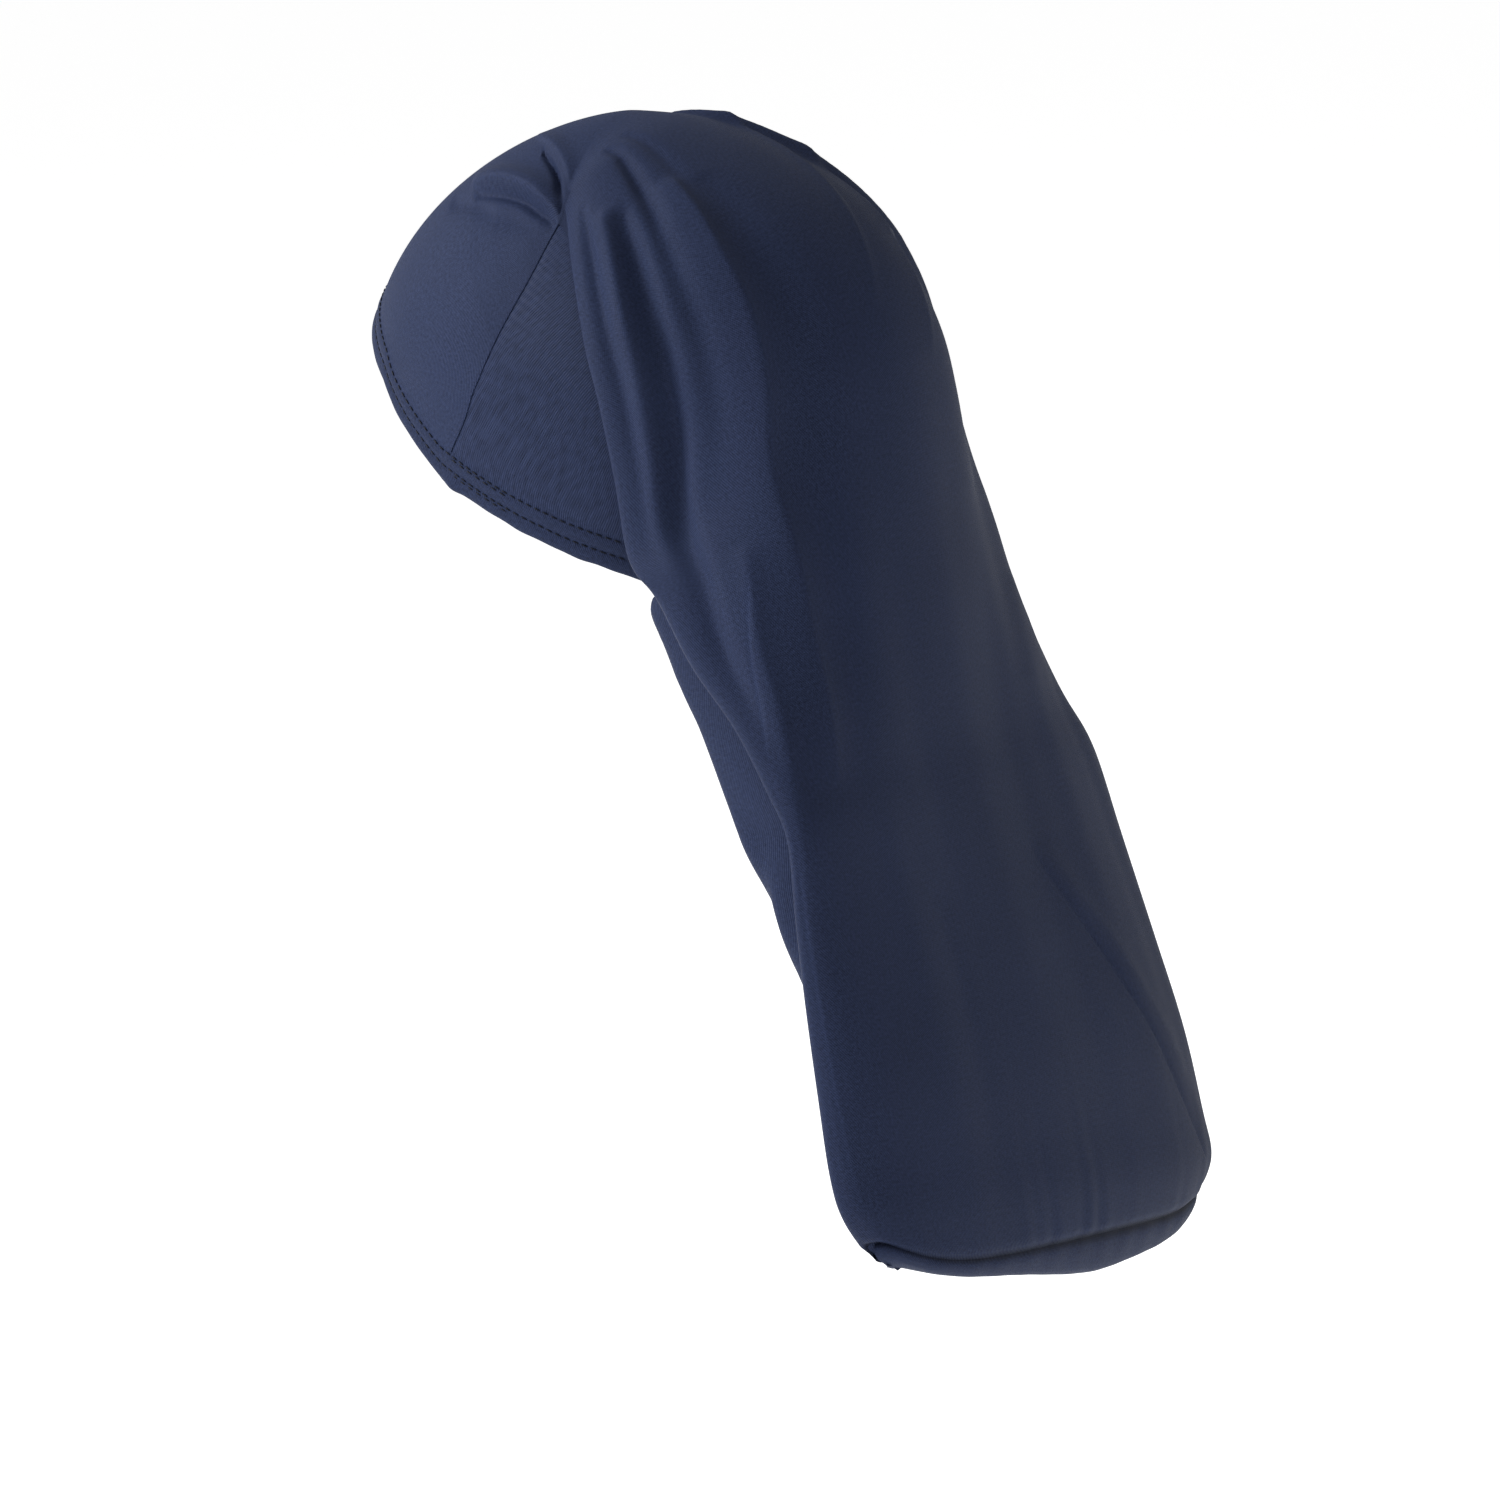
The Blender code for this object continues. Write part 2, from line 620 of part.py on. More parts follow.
def hem_band(material):
    """The turned hem: one closed ring round the face and nape."""
    mesh = bmesh.new()
    rings = [[mesh.verts.new(point) for point in hem_section(lon)] for lon in hem_longitudes()]
    count = len(rings[0])
    for ring, after in zip(rings, rings[1:] + rings[:1]):
        for place in range(count):
            following = (place + 1) % count
            mesh.faces.new([ring[place], ring[following], after[following], after[place]])
    return finish("hem_band", mesh, material)


def jersey(name, colour, roughness):
    """Navy jersey."""
    material = bpy.data.materials.new(name)
    material.use_nodes = True
    shader = material.node_tree.nodes["Principled BSDF"]
    shader.inputs["Base Color"].default_value = (*colour, 1.0)
    shader.inputs["Roughness"].default_value = roughness
    shader.inputs["Metallic"].default_value = 0.0
    return material


def main():
    for thing in list(bpy.data.objects):
        bpy.data.objects.remove(thing, do_unlink=True)
    outer_cloth = jersey("navy jersey, outer", (0.028, 0.036, 0.085), 0.62)
    side_cloth = jersey("navy jersey, side", (0.026, 0.033, 0.078), 0.64)
    under_cloth = jersey("navy jersey, under", (0.026, 0.034, 0.080), 0.64)
    shell("crown_bag_panel", outer_grid(), outer_cloth)
    shell("side_band", band_grid(), side_cloth)
    shell("under_panel", under_grid(), under_cloth, side=-1.0)
    hem_band(jersey("navy jersey, hem", (0.024, 0.031, 0.074), 0.60))


main()
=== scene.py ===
"""Long sleep bonnet, dressed: jersey panels with their folds, hem and stitches, on a pale stage.

The wearer faces -Y, the wearer's left is +X and +Z is up. The origin is the inside of the
crown's top. Lengths are in metres.
"""
import math
from collections import namedtuple

import bpy
import numpy as np
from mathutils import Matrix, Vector


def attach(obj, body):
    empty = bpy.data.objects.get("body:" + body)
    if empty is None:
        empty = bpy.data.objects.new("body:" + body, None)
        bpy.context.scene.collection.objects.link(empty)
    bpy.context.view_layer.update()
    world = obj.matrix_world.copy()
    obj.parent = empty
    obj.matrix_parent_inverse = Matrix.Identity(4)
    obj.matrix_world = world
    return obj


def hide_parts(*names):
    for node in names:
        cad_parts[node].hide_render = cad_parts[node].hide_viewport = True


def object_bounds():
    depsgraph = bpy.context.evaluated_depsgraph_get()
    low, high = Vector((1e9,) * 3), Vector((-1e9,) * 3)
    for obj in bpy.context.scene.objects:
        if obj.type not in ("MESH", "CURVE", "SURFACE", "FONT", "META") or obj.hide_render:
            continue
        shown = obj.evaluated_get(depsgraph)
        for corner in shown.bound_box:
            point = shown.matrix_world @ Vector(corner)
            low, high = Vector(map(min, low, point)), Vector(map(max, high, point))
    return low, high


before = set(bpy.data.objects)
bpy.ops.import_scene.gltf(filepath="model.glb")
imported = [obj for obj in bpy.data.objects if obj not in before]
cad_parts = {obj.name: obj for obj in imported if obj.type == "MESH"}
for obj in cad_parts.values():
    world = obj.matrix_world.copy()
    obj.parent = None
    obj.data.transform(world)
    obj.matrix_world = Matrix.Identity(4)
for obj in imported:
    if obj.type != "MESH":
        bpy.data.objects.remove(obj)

bl_info = {
    "name": "Long sleep bonnet",
    "version": (1, 0, 0),
    "blender": (4, 5, 0),
    "location": "View3D > Sidebar > Bonnet",
    "description": "Builds the cloth, stitches and stage of a long sleep bonnet",
    "category": "Object",
}

CAD_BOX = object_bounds()

# Head form, measured inside the cloth
HEAD_WIDTH = 0.1526
HEAD_LENGTH = 0.1926
CROWN_HEIGHT = 0.0890
HEAD_TAPER = 0.1490
CROWN_POINT = 1.15

# Cloth
WALL = 0.0012
GAP = 0.0003

# Hem, with the height at which the panels lap over it
LAP_HEIGHT = 0.0114

# Hair bag: its lift off the head and its size, its lean, roll and turn, and the turn over
# the crown, in degrees, where the front of the outer panel passes into the bag
BAG_LIFT = 0.0100
BAG_BACK = 0.0720
BAG_DROP = 0.2815
BAG_WIDTH = 0.2400
BAG_DEPTH = 0.0720
BAG_TILT = math.radians(17.0)
BAG_ROLL = math.radians(7.4)
BAG_YAW = math.radians(7.0)
APEX_TURN = 87.0

# Turned edges of the outer panel: how far they turn in and run forward, how much of the
# inset bends them, and their lift over the head
LIP_INSET = 0.0075
LIP_LENGTH = 0.0110
LIP_BEND = 0.8
LIP_LIFT = 0.0012

# Clearances: the turned edges and the folds beside them over the head, and the under
# panel's tips, corners and bottom from the outer panel
LIP_CLEAR = GAP + 0.0004
FOLD_CLEAR = WALL + GAP + 0.0004
TIP_GAP = 0.0002
CORNER_GAP = 0.0002
BOTTOM_GAP = 0.0002

# Corners of the bag's lower rows: how far they rise and how sharply, then the margin in u
# over which folds fade at the edges, and how much closer rows lie towards the bottom
CORNER_RISE = 0.0140
CORNER_POWER = 6
FOLD_MARGIN = 0.08
ROW_SQUEEZE = 1.15

# Wrapped bottom of the bag: the depth of its crescent, where across the bag that is
# deepest, how round it is to the right of that, its depth at the corners, and the turns
# of its rows in degrees
CRESCENT = 0.0163
CRESCENT_PLACE = -0.15
CRESCENT_POWER = 1.8
CORNER_SAG = 0.0030
WRAP_TURNS = (40.0, 80.0, 125.0, 180.0)

# Bottom seam: how the panels roll into it, the flat strip beside it, and the puckers
SEAM_ROLL = 0.0022
SEAM_REACH = 0.0015
SEAM_BEND = 1.4
SEAM_FLAT = 0.0020
PUCKER = 0.00034
UNDER_PUCKER = 0.0002

# How far the side panel runs under the outer one at the side seam and its apex, in
# degrees, and how deep
SEAM_LAP = 2.0
APEX_LAP = 3.5
SEAM_TUCK = 0.0007

# Mesh density of the dressed cloth, and how much coarser its inner side is
MAIN_COLUMNS = 96
LIP_COLUMNS = 15
FRONT_ROWS = 120
BAG_ROWS = 240
UNDER_COLUMNS = 93
UNDER_ROWS = 168
WRAP_ROWS = 30
BAND_COLUMNS = 90
BAND_ROWS = 45
INNER_STEP = 3
HEM_COLUMNS = 540

# Outer half sizes of the cloth on the head
HALF_WIDTH = HEAD_WIDTH / 2 + WALL
HALF_LENGTH = HEAD_LENGTH / 2 + WALL
CENTRE_Z = -CROWN_HEIGHT

# Longitude runs from the forehead (0) over the wearer's left ear (90) to the nape (180).
# Latitude is 0 at the widest level of the head.
Mark = namedtuple("Mark", "lon lat")
HEM_LINE = [Mark(0, 13.0), Mark(18, 11.0), Mark(33, 5.0), Mark(48, -3.5), Mark(64, -11.3),
            Mark(89, -18.6), Mark(110, -23.2), Mark(140, -27.5), Mark(180, -30.0)]
SIDE_SEAM = [Mark(66.8, -7.2), Mark(72.7, -0.6), Mark(79.2, 14.2), Mark(84.0, 26.5),
             Mark(87.1, 38.6)]
HIDDEN_SEAM = [Mark(87.1, 38.6), Mark(97.0, 31.0), Mark(103.5, 13.0), Mark(107.5, 0.0),
               Mark(111.0, -9.0), Mark(116.0, -15.0), Mark(140, -18.0), Mark(180, -20.0)]
NAPE_MARK = 5
NAPE_INSET = 3.0
NAPE_LIFTS = (GAP + 0.0002, 0.0030, 0.0042)

# Rows of the bag where the head backs it: turn is the angle over the crown, spine and edge
# are shares of BAG_LIFT, round shapes the section, seam is a place along HIDDEN_SEAM.
Crown = namedtuple("Crown", "turn spine lon lat edge round seam")
CROWN_ROWS = [
    Crown(100, 0.00, 90.0, 42.5, 0.34, 1.10, 0.25),
    Crown(118, 0.05, 96.5, 28.3, 0.80, 1.10, 1.30),
    Crown(136, 0.30, 100.9, 12.6, 1.00, 1.05, 2.10),
    Crown(152, 0.52, 103.9, 1.3, 1.00, 1.00, 3.00),
    Crown(166, 0.70, 106.6, -7.6, 1.10, 0.93, 3.90),
    Crown(180, 0.85, 109.6, -17.0, 1.80, 0.86, 4.90),
]

# Rows of the bag below the head, as shares of BAG_BACK, BAG_DROP, half BAG_WIDTH,
# BAG_DEPTH, LIP_LENGTH, the roll and yaw, and CORNER_RISE.
Hang = namedtuple("Hang", "back drop half depth round lip skew bow")
HANG_ROWS = [
    Hang(0.190, 0.149, 0.783, 0.860, 0.80, 0.95, 0.00, 0.0),
    Hang(0.245, 0.232, 0.833, 0.695, 0.84, 0.90, 0.02, 0.0),
    Hang(0.300, 0.315, 0.883, 0.480, 0.90, 0.65, 0.06, 0.0),
    Hang(0.360, 0.400, 0.933, 0.310, 0.96, 0.42, 0.12, 0.0),
    Hang(0.430, 0.460, 0.962, 0.240, 0.96, 0.38, 0.22, 0.0),
    Hang(0.549, 0.560, 0.980, 0.272, 0.88, 0.40, 0.38, 0.0),
    Hang(0.694, 0.668, 0.990, 0.320, 0.85, 0.42, 0.58, 0.0),
    Hang(0.826, 0.776, 1.000, 0.345, 0.85, 0.40, 0.78, 0.0),
    Hang(0.908, 0.877, 0.996, 0.345, 0.85, 0.38, 0.92, 0.1),
    Hang(0.958, 0.940, 0.985, 0.340, 0.87, 0.30, 0.94, 0.4),
    Hang(0.961, 1.004, 0.930, 0.306, 0.90, 0.15, 0.80, 1.0),
]

# Rows of the under panel, one for each of HANG_ROWS: its side corner as a share of the
# half width, its place before the fold edge, the middle's place, and the curve's power.
Under = namedtuple("Under", "corner ahead mid_back mid_drop full")
UNDER_TABLE = [
    Under(0.830, 0.160, 0.075, 0.285, 2.6),
    Under(0.850, 0.220, 0.060, 0.345, 2.6),
    Under(0.872, 0.290, 0.060, 0.430, 2.6),
    Under(0.884, 0.335, 0.110, 0.515, 2.8),
    Under(0.900, 0.320, 0.150, 0.575, 3.0),
    Under(0.915, 0.190, 0.235, 0.655, 3.0),
    Under(0.915, 0.090, 0.330, 0.750, 3.2),
    Under(0.915, 0.020, 0.430, 0.840, 3.4),
    Under(0.915, 0.020, 0.510, 0.920, 3.6),
    Under(0.910, 0.010, 0.590, 0.955, 3.8),
    Under(0.900, 0.000, 0.650, 0.988, 3.8),
]

# Folds of the outer panel: (u, v) of both ends, a sideways bend, the height in millimetres
# (valleys are negative), the half width in u and how much steeper the side of growing u
# is. crisp is 2 for a round fold and less for a pointed one. u runs from -1 at the right
# edge to 1 at the left one. v runs from -1 at the forehead hem over 0 at the apex of the
# side seams to 1 at the bottom seam.
Fold = namedtuple("Fold", "u0 v0 u1 v1 bend height width steep crisp", defaults=[2.0])
FOLDS = [
    # Tuck in front of the left apex, its crease, and the smaller tuck above it
    Fold(0.36, -0.54, 0.90, -0.03, 0.00, 4.6, 0.060, 0.58),
    Fold(0.43, -0.53, 1.00, 0.00, 0.00, -2.8, 0.029, 0.00, 1.6),
    Fold(0.38, -0.29, 0.84, -0.03, 0.03, -2.9, 0.031, 0.00, 1.6),
    Fold(0.20, -0.32, 0.76, 0.00, 0.03, 1.5, 0.065, 0.50),
    Fold(0.36, -0.60, 0.66, -0.44, 0.00, -1.2, 0.050, 0.00),
    Fold(0.62, -0.46, 0.80, -0.24, 0.00, -0.9, 0.045, 0.00),
    # The same at the right apex, which is a little plainer
    Fold(-0.37, -0.50, -0.90, -0.04, -0.02, 2.3, 0.065, -0.50),
    Fold(-0.44, -0.50, -1.00, 0.00, 0.00, -2.0, 0.034, 0.00),
    Fold(-0.34, -0.28, -0.82, 0.00, -0.04, -2.0, 0.036, 0.00),
    Fold(-0.20, -0.30, -0.76, 0.00, -0.03, 0.6, 0.070, -0.30),
    # Left side, from the fold edge towards the back
    Fold(0.94, 0.06, 0.95, 0.38, 0.00, -2.4, 0.026, 0.00),
    Fold(0.85, 0.08, 0.93, 0.46, 0.00, 3.2, 0.040, 0.00, 1.6),
    Fold(0.78, 0.09, 1.00, 0.58, -0.04, -5.8, 0.048, -0.30),
    Fold(0.66, 0.04, 0.71, 0.32, 0.00, -1.6, 0.034, 0.00),
    Fold(0.54, 0.09, 0.80, 0.60, -0.07, 5.2, 0.075, -0.50, 1.35),
    Fold(0.42, 0.10, 0.72, 0.62, -0.07, -1.6, 0.070, 0.00),
    Fold(0.74, 0.39, 0.985, 0.62, 0.00, 2.0, 0.036, 0.00, 1.2),
    Fold(0.985, 0.66, 0.935, 1.00, 0.00, -0.9, 0.018, 0.00, 1.4),
    Fold(0.62, 0.02, 0.66, 0.13, 0.00, -1.8, 0.036, 0.00),
    Fold(0.45, 0.02, 0.50, 0.12, 0.00, -1.0, 0.040, 0.00),
    # Right side
    Fold(-0.28, 0.01, -0.62, 0.42, -0.05, 4.4, 0.075, 0.35),
    Fold(-0.43, 0.03, -0.74, 0.34, -0.02, -3.6, 0.048, 0.00),
    Fold(-0.58, 0.02, -0.88, 0.44, -0.02, 4.2, 0.060, 0.25),
    Fold(-0.72, 0.02, -0.93, 0.38, -0.02, -3.2, 0.042, 0.00),
    Fold(-0.84, 0.03, -0.95, 0.42, -0.01, 2.4, 0.034, 0.00),
    Fold(-0.28, 0.20, -0.46, 0.56, 0.00, -4.0, 0.140, 0.00),
    # Long soft drapes down the bag
    Fold(0.30, 0.24, 0.36, 1.00, 0.02, -0.7, 0.100, 0.00),
    Fold(0.06, 0.30, 0.12, 1.00, -0.02, 0.7, 0.110, 0.00),
    Fold(-0.22, 0.40, -0.16, 1.00, 0.02, -0.7, 0.100, 0.00),
    Fold(-0.52, 0.48, -0.50, 1.00, 0.02, 0.8, 0.100, 0.00),
    Fold(-0.76, 0.52, -0.74, 1.00, 0.00, -0.7, 0.070, 0.00),
    Fold(0.62, 0.62, 0.58, 1.00, 0.00, 0.6, 0.080, 0.00),
    Fold(0.46, 0.70, 0.44, 1.00, 0.00, -0.5, 0.060, 0.00),
    Fold(-0.13, 0.69, -0.88, 0.998, 0.00, -0.8, 0.016, 0.00, 1.2),
    Fold(-0.20, 0.69, -0.92, 0.97, 0.00, 0.8, 0.060, 0.00),
    # Crisp ridges over the right of the crown
    Fold(-0.40, 0.02, 0.17, 0.26, 0.04, 1.3, 0.030, -0.35, 1.3),
    Fold(-0.50, 0.06, -0.02, 0.32, 0.05, 1.1, 0.030, -0.35, 1.3),
]

# Lines that were pressed in while the bag lay flat, as (u, v) ends and a half width in u
# Along each line the cloth is bumped up and its tone raised; the raised tone is a painted
# highlight.
Press = namedtuple("Press", "u0 v0 u1 v1 width")
PRESSES = [
    Press(1.000, -0.998, 1.000, -0.020, 0.0070),
    Press(-1.000, -0.998, -1.000, -0.020, 0.0070),
    Press(0.760, 0.410, 0.985, 0.565, 0.0110),
    Press(1.004, 0.640, 0.956, 0.980, 0.0110),
    Press(-0.130, 0.700, -0.860, 0.992, 0.0070),
]

# Soft folds at the left edge of the under panel: the place across and down, the half
# width and half length as shares of the panel, and the height in millimetres
Dent = namedtuple("Dent", "across down width length height")
UNDER_DENTS = [
    Dent(0.62, 0.42, 0.09, 0.16, 1.2),
    Dent(0.80, 0.40, 0.06, 0.12, -1.6),
]

# Height of the under panel's broad waves, and the distance that each of its last rows
# counts for at the bottom seam
UNDER_WAVE = 0.0016
UNDER_STEP = 0.0012

# Shadow in the bottom seam: where it starts and is full, in v, and its tone. A row of the
# under panel counts as a share of v there, and its u lies off all pressed lines.
SEAM_SHADOW = (0.9945, 0.9985)
SEAM_TONE = 0.35
UNDER_ROW_SHARE = 0.0033
OFF_LINES = 5.0


def smooth_table(marks, value):
    """Value of a smooth curve through a table's marks, at a place counted in rows."""
    count = len(marks)
    value = min(max(value, 0.0), count - 1.0)
    low = min(int(value), count - 2)
    share = value - low
    points = [np.array(marks[min(max(low + step, 0), count - 1)], float)
              for step in (-1, 0, 1, 2)]
    if low == 0:
        points[0] = 2 * points[1] - points[2]
    if low == count - 2:
        points[3] = 2 * points[2] - points[1]
    return cubic(points, share)


def cubic(points, share):
    """Catmull-Rom value between the second and third of four points."""
    before, first, second, after = points
    return 0.5 * (2 * first + (second - before) * share
                  + (2 * before - 5 * first + 4 * second - after) * share ** 2
                  + (3 * first - before - 3 * second + after) * share ** 3)


def even(points, count):
    """The same line with count points an even distance apart."""
    points = np.array(points, float)
    steps = np.linalg.norm(np.diff(points, axis=0), axis=1)
    along = np.concatenate([[0.0], np.cumsum(steps)])
    wanted = np.linspace(0.0, along[-1], count)
    return np.stack([np.interp(wanted, along, points[:, axis]) for axis in range(3)], 1)


def smooth_line(points, count):
    """A smooth line through a few points, with evenly spaced points."""
    dense = [smooth_table(points, place)
             for place in np.linspace(0, len(points) - 1, 40 * len(points))]
    return even(dense, count)


def smooth_rows(rows, place):
    """One row of a smooth surface, at a place counted in the given rows."""
    count = len(rows)
    low = min(int(place), count - 2)
    before = rows[low - 1] if low > 0 else 2 * rows[0] - rows[1]
    after = rows[low + 2] if low < count - 2 else 2 * rows[-1] - rows[-2]
    return cubic([before, rows[low], rows[low + 1], after], place - low)


def loft(rows, count):
    """Rows of points an even distance apart on a smooth surface through the given rows."""
    rows = np.array(rows)
    steps = np.linalg.norm(np.diff(rows, axis=0), axis=2).mean(axis=1)
    along = np.concatenate([[0.0], np.cumsum(steps)])
    wanted = squeezed(np.linspace(0.0, 1.0, count)) * along[-1]
    stops = np.interp(wanted, along, np.arange(len(rows)))
    return np.array([smooth_rows(rows, stop) for stop in stops])


def squeezed(share):
    """Share of the way down the bag, with rows closer together towards the bottom."""
    return 1.0 - (1.0 - share) ** ROW_SQUEEZE


def rise_of(height):
    """Half height of the head form above or below its widest level."""
    return (CROWN_HEIGHT if height > 0 else HEAD_TAPER) + WALL


def head_point(lon, lat, lift=0.0):
    """A point on the cloth of the head, lifted outwards."""
    lon = math.radians(lon)
    lat = math.radians(lat)
    rise = rise_of(lat) + lift
    level = math.cos(lat) ** (CROWN_POINT if lat > 0 else 1.0)
    return np.array([(HALF_WIDTH + lift) * level * math.sin(lon),
                     -(HALF_LENGTH + lift) * level * math.cos(lon),
                     CENTRE_Z + rise * math.sin(lat)])


def onto_head(side, turn, lift=0.0):
    """A point on the cloth of the head, by an angle to the side and one over the crown."""
    wide = math.sin(side)
    ahead = math.cos(side) * math.cos(turn)
    up = math.cos(side) * math.sin(turn)
    lon = math.degrees(math.atan2(wide, ahead))
    flat = math.hypot(wide, ahead)
    low, high = -math.pi / 2, math.pi / 2
    for _ in range(40):
        lat = (low + high) / 2
        level = math.cos(lat) ** (CROWN_POINT if lat > 0 else 1.0)
        if math.sin(lat) * flat < up * level:
            low = lat
        else:
            high = lat
    return head_point(lon, math.degrees(lat), lift)


def cleared(point, lift):
    """The point, pushed straight out from the head's middle if it is nearer than lift."""
    arm = point - np.array([0.0, 0.0, CENTRE_Z])
    wide = math.hypot(arm[0] / HALF_WIDTH, arm[1] / HALF_LENGTH)
    high = abs(arm[2]) / rise_of(arm[2])
    power = CROWN_POINT / 2 if arm[2] > 0 else 0.5
    low, top = 0.2, 4.0
    for _ in range(30):
        scale = (low + top) / 2
        if high * scale < 1.0 and wide * scale < (1.0 - (high * scale) ** 2) ** power:
            low = scale
        else:
            top = scale
    length = np.linalg.norm(arm)
    short = length * scale + lift - length
    return point + arm / length * max(short, 0.0)


def hem_lat(lon):
    """Latitude of the hem's lower edge."""
    place = np.interp(abs(lon), [mark.lon for mark in HEM_LINE], range(len(HEM_LINE)))
    return smooth_table(HEM_LINE, place)[1]


def lat_above(lon, height):
    """Latitude of a place a given height above the hem's lower edge."""
    level = head_point(lon, hem_lat(lon))[2] - CENTRE_Z + height
    return math.degrees(math.asin(level / rise_of(level)))


def side_seam(share):
    """Longitude and latitude on the side seam, from the hem (0) to its apex (1)."""
    lon, lat = smooth_table(SIDE_SEAM, share * (len(SIDE_SEAM) - 1))
    foot = lat_above(SIDE_SEAM[0].lon, LAP_HEIGHT) - SIDE_SEAM[0].lat
    return lon, lat + foot * (1.0 - share) ** 2


SEAM_PLACES = np.array([side_seam(share) for share in np.linspace(0.0, 1.0, 200)])


def mirrored(half):
    """A whole row, right to left, from its left half that starts in the middle."""
    half = np.array(half)
    right = half[:0:-1] * np.array([-1.0, 1.0, 1.0])
    return np.concatenate([right, half])


def angles(lon, lat):
    """Angle to the side and angle over the crown of a place on the head, in radians."""
    lon = math.radians(lon)
    lat = math.radians(lat)
    level = math.cos(lat) ** (CROWN_POINT if lat > 0 else 1.0)
    wide, ahead, up = level * math.sin(lon), level * math.cos(lon), math.sin(lat)
    return np.array([math.atan2(wide, math.hypot(ahead, up)), math.atan2(up, ahead)])


def patch_row(low, high, seam, across, share):
    """A row of a four-sided patch between its low and high edges, out to its seam."""
    place = across[:, None]
    middle = low[0] * (1.0 - share) + high[0] * share
    return (low * (1.0 - share) + high * share + middle * (1.0 - place) + seam * place
            - (low[0] * (1.0 - place) + low[-1] * place) * (1.0 - share)
            - (high[0] * (1.0 - place) + high[-1] * place) * share)


def front_grid():
    """Points of the front panel from the forehead hem to the apex of the side seams."""
    columns = MAIN_COLUMNS + LIP_COLUMNS
    across = np.linspace(0.0, 1.0, columns + 1)
    lons = side_seam(0.0)[0] * across
    low = np.array([angles(lon, lat_above(lon, LAP_HEIGHT)) for lon in lons])
    apex = angles(*side_seam(1.0))
    start = math.radians(APEX_TURN)
    high = np.stack([apex[0] * across, start + (apex[1] - start) * across ** 2], 1)
    grid = []
    for share in np.linspace(0.0, 1.0, FRONT_ROWS + 1):
        spots = patch_row(low, high, angles(*side_seam(share)), across, share)
        grid.append(mirrored([onto_head(side, turn) for side, turn in spots]))
    return np.array(grid)


def section(spine, edge, roundness):
    """Half a section of the outer face, from its middle line to its fold edge."""
    inward = np.array([0.0, edge[1] - spine[1], edge[2] - spine[2]])
    angle = np.linspace(0.0, math.pi / 2, 400)[:, None]
    wide = np.sin(angle) ** roundness
    deep = 1.0 - np.clip(np.cos(angle), 0.0, 1.0) ** roundness
    out = spine + np.array([edge[0], 0.0, 0.0]) * wide + inward * deep
    return even(out, MAIN_COLUMNS + 1)


def lip(main, end, guide):
    """The turned-under edge: a soft bend from the fold edge back to its seam."""
    fold_edge = main[-1]
    along = main[-1] - main[-4]
    along = along / np.linalg.norm(along)
    first = fold_edge + along * LIP_INSET * LIP_BEND
    step = np.linspace(0.0, 1.0, 160)[:, None]
    rest = 1.0 - step
    line = (fold_edge * rest ** 3 + first * 3 * rest ** 2 * step
            + guide * 3 * rest * step ** 2 + end * step ** 3)
    return even(line, LIP_COLUMNS + 1)[1:]


def crown_row(row):
    """A whole row of the bag where the head backs it."""
    spine = onto_head(0.0, math.radians(row.turn), row.spine * BAG_LIFT)
    edge = head_point(row.lon, row.lat, row.edge * BAG_LIFT)
    main_part = section(spine, edge, row.round)
    seam = smooth_table(HIDDEN_SEAM, row.seam)
    end = head_point(seam[0], seam[1], GAP + WALL / 2)
    guide = head_point(row.lon, row.lat, GAP + LIP_LIFT)
    return mirrored(np.concatenate([main_part, lip(main_part, end, guide)]))


def skewed(points, row):
    """Points of a bag row rolled, turned and bowed up at the corners, as it hangs."""
    points = np.array(points)
    half = row.half * BAG_WIDTH / 2
    points[:, 2] += points[:, 0] * math.tan(BAG_ROLL) * row.skew
    corner = np.minimum(abs(points[:, 0]) / half, 1.0) ** CORNER_POWER
    points[:, 2] += CORNER_RISE * row.bow * corner
    points[:, 1] -= points[:, 0] * math.tan(BAG_YAW) * row.skew
    return points


FORWARD = np.array([0.0, -math.cos(BAG_TILT), -math.sin(BAG_TILT)])


def hang_spine(row):
    """Middle of the bag's outer face at one row."""
    return np.array([0.0, HALF_LENGTH + row.back * BAG_BACK, CENTRE_Z - row.drop * BAG_DROP])


def hang_edge(row):
    """Fold edge of the bag at one row."""
    edge = hang_spine(row) + FORWARD * row.depth * BAG_DEPTH
    return edge + np.array([row.half * BAG_WIDTH / 2, 0.0, 0.0])


def seam_tip(row):
    """Where the outer panel's turned edge is sewn to the under panel."""
    inward = np.array([LIP_INSET, 0.0, 0.0])
    return hang_edge(row) - inward - FORWARD * row.lip * LIP_LENGTH


def hang_row(row):
    """A whole row of the bag below the head."""
    main_part = section(hang_spine(row), hang_edge(row), row.round)
    end = seam_tip(row)
    guide = end + FORWARD * (row.lip * LIP_LENGTH + LIP_INSET * LIP_BEND)
    return skewed(mirrored(np.concatenate([main_part, lip(main_part, end, guide)])), row)


def grid_normals(grid):
    """Normals of a grid of points, outward where rows go down and columns go left."""
    down = np.gradient(grid, axis=0)
    across = np.gradient(grid, axis=1)
    normals = np.cross(across, down)
    return normals / np.maximum(np.linalg.norm(normals, axis=2, keepdims=True), 1e-12)


def places():
    """The (u, v) of each point of the outer panel's grid."""
    middle = MAIN_COLUMNS + LIP_COLUMNS
    rows = np.arange(FRONT_ROWS + BAG_ROWS + 1)
    columns = np.arange(2 * middle + 1) - middle
    front = (rows <= FRONT_ROWS)[:, None]
    past = np.maximum(rows[:, None] - FRONT_ROWS, 0) / BAG_ROWS
    along = np.where(front, (rows[:, None] - FRONT_ROWS) / FRONT_ROWS, squeezed(past))
    across = np.where(front, columns[None] / middle, columns[None] / MAIN_COLUMNS)
    return across, np.broadcast_to(along, across.shape)


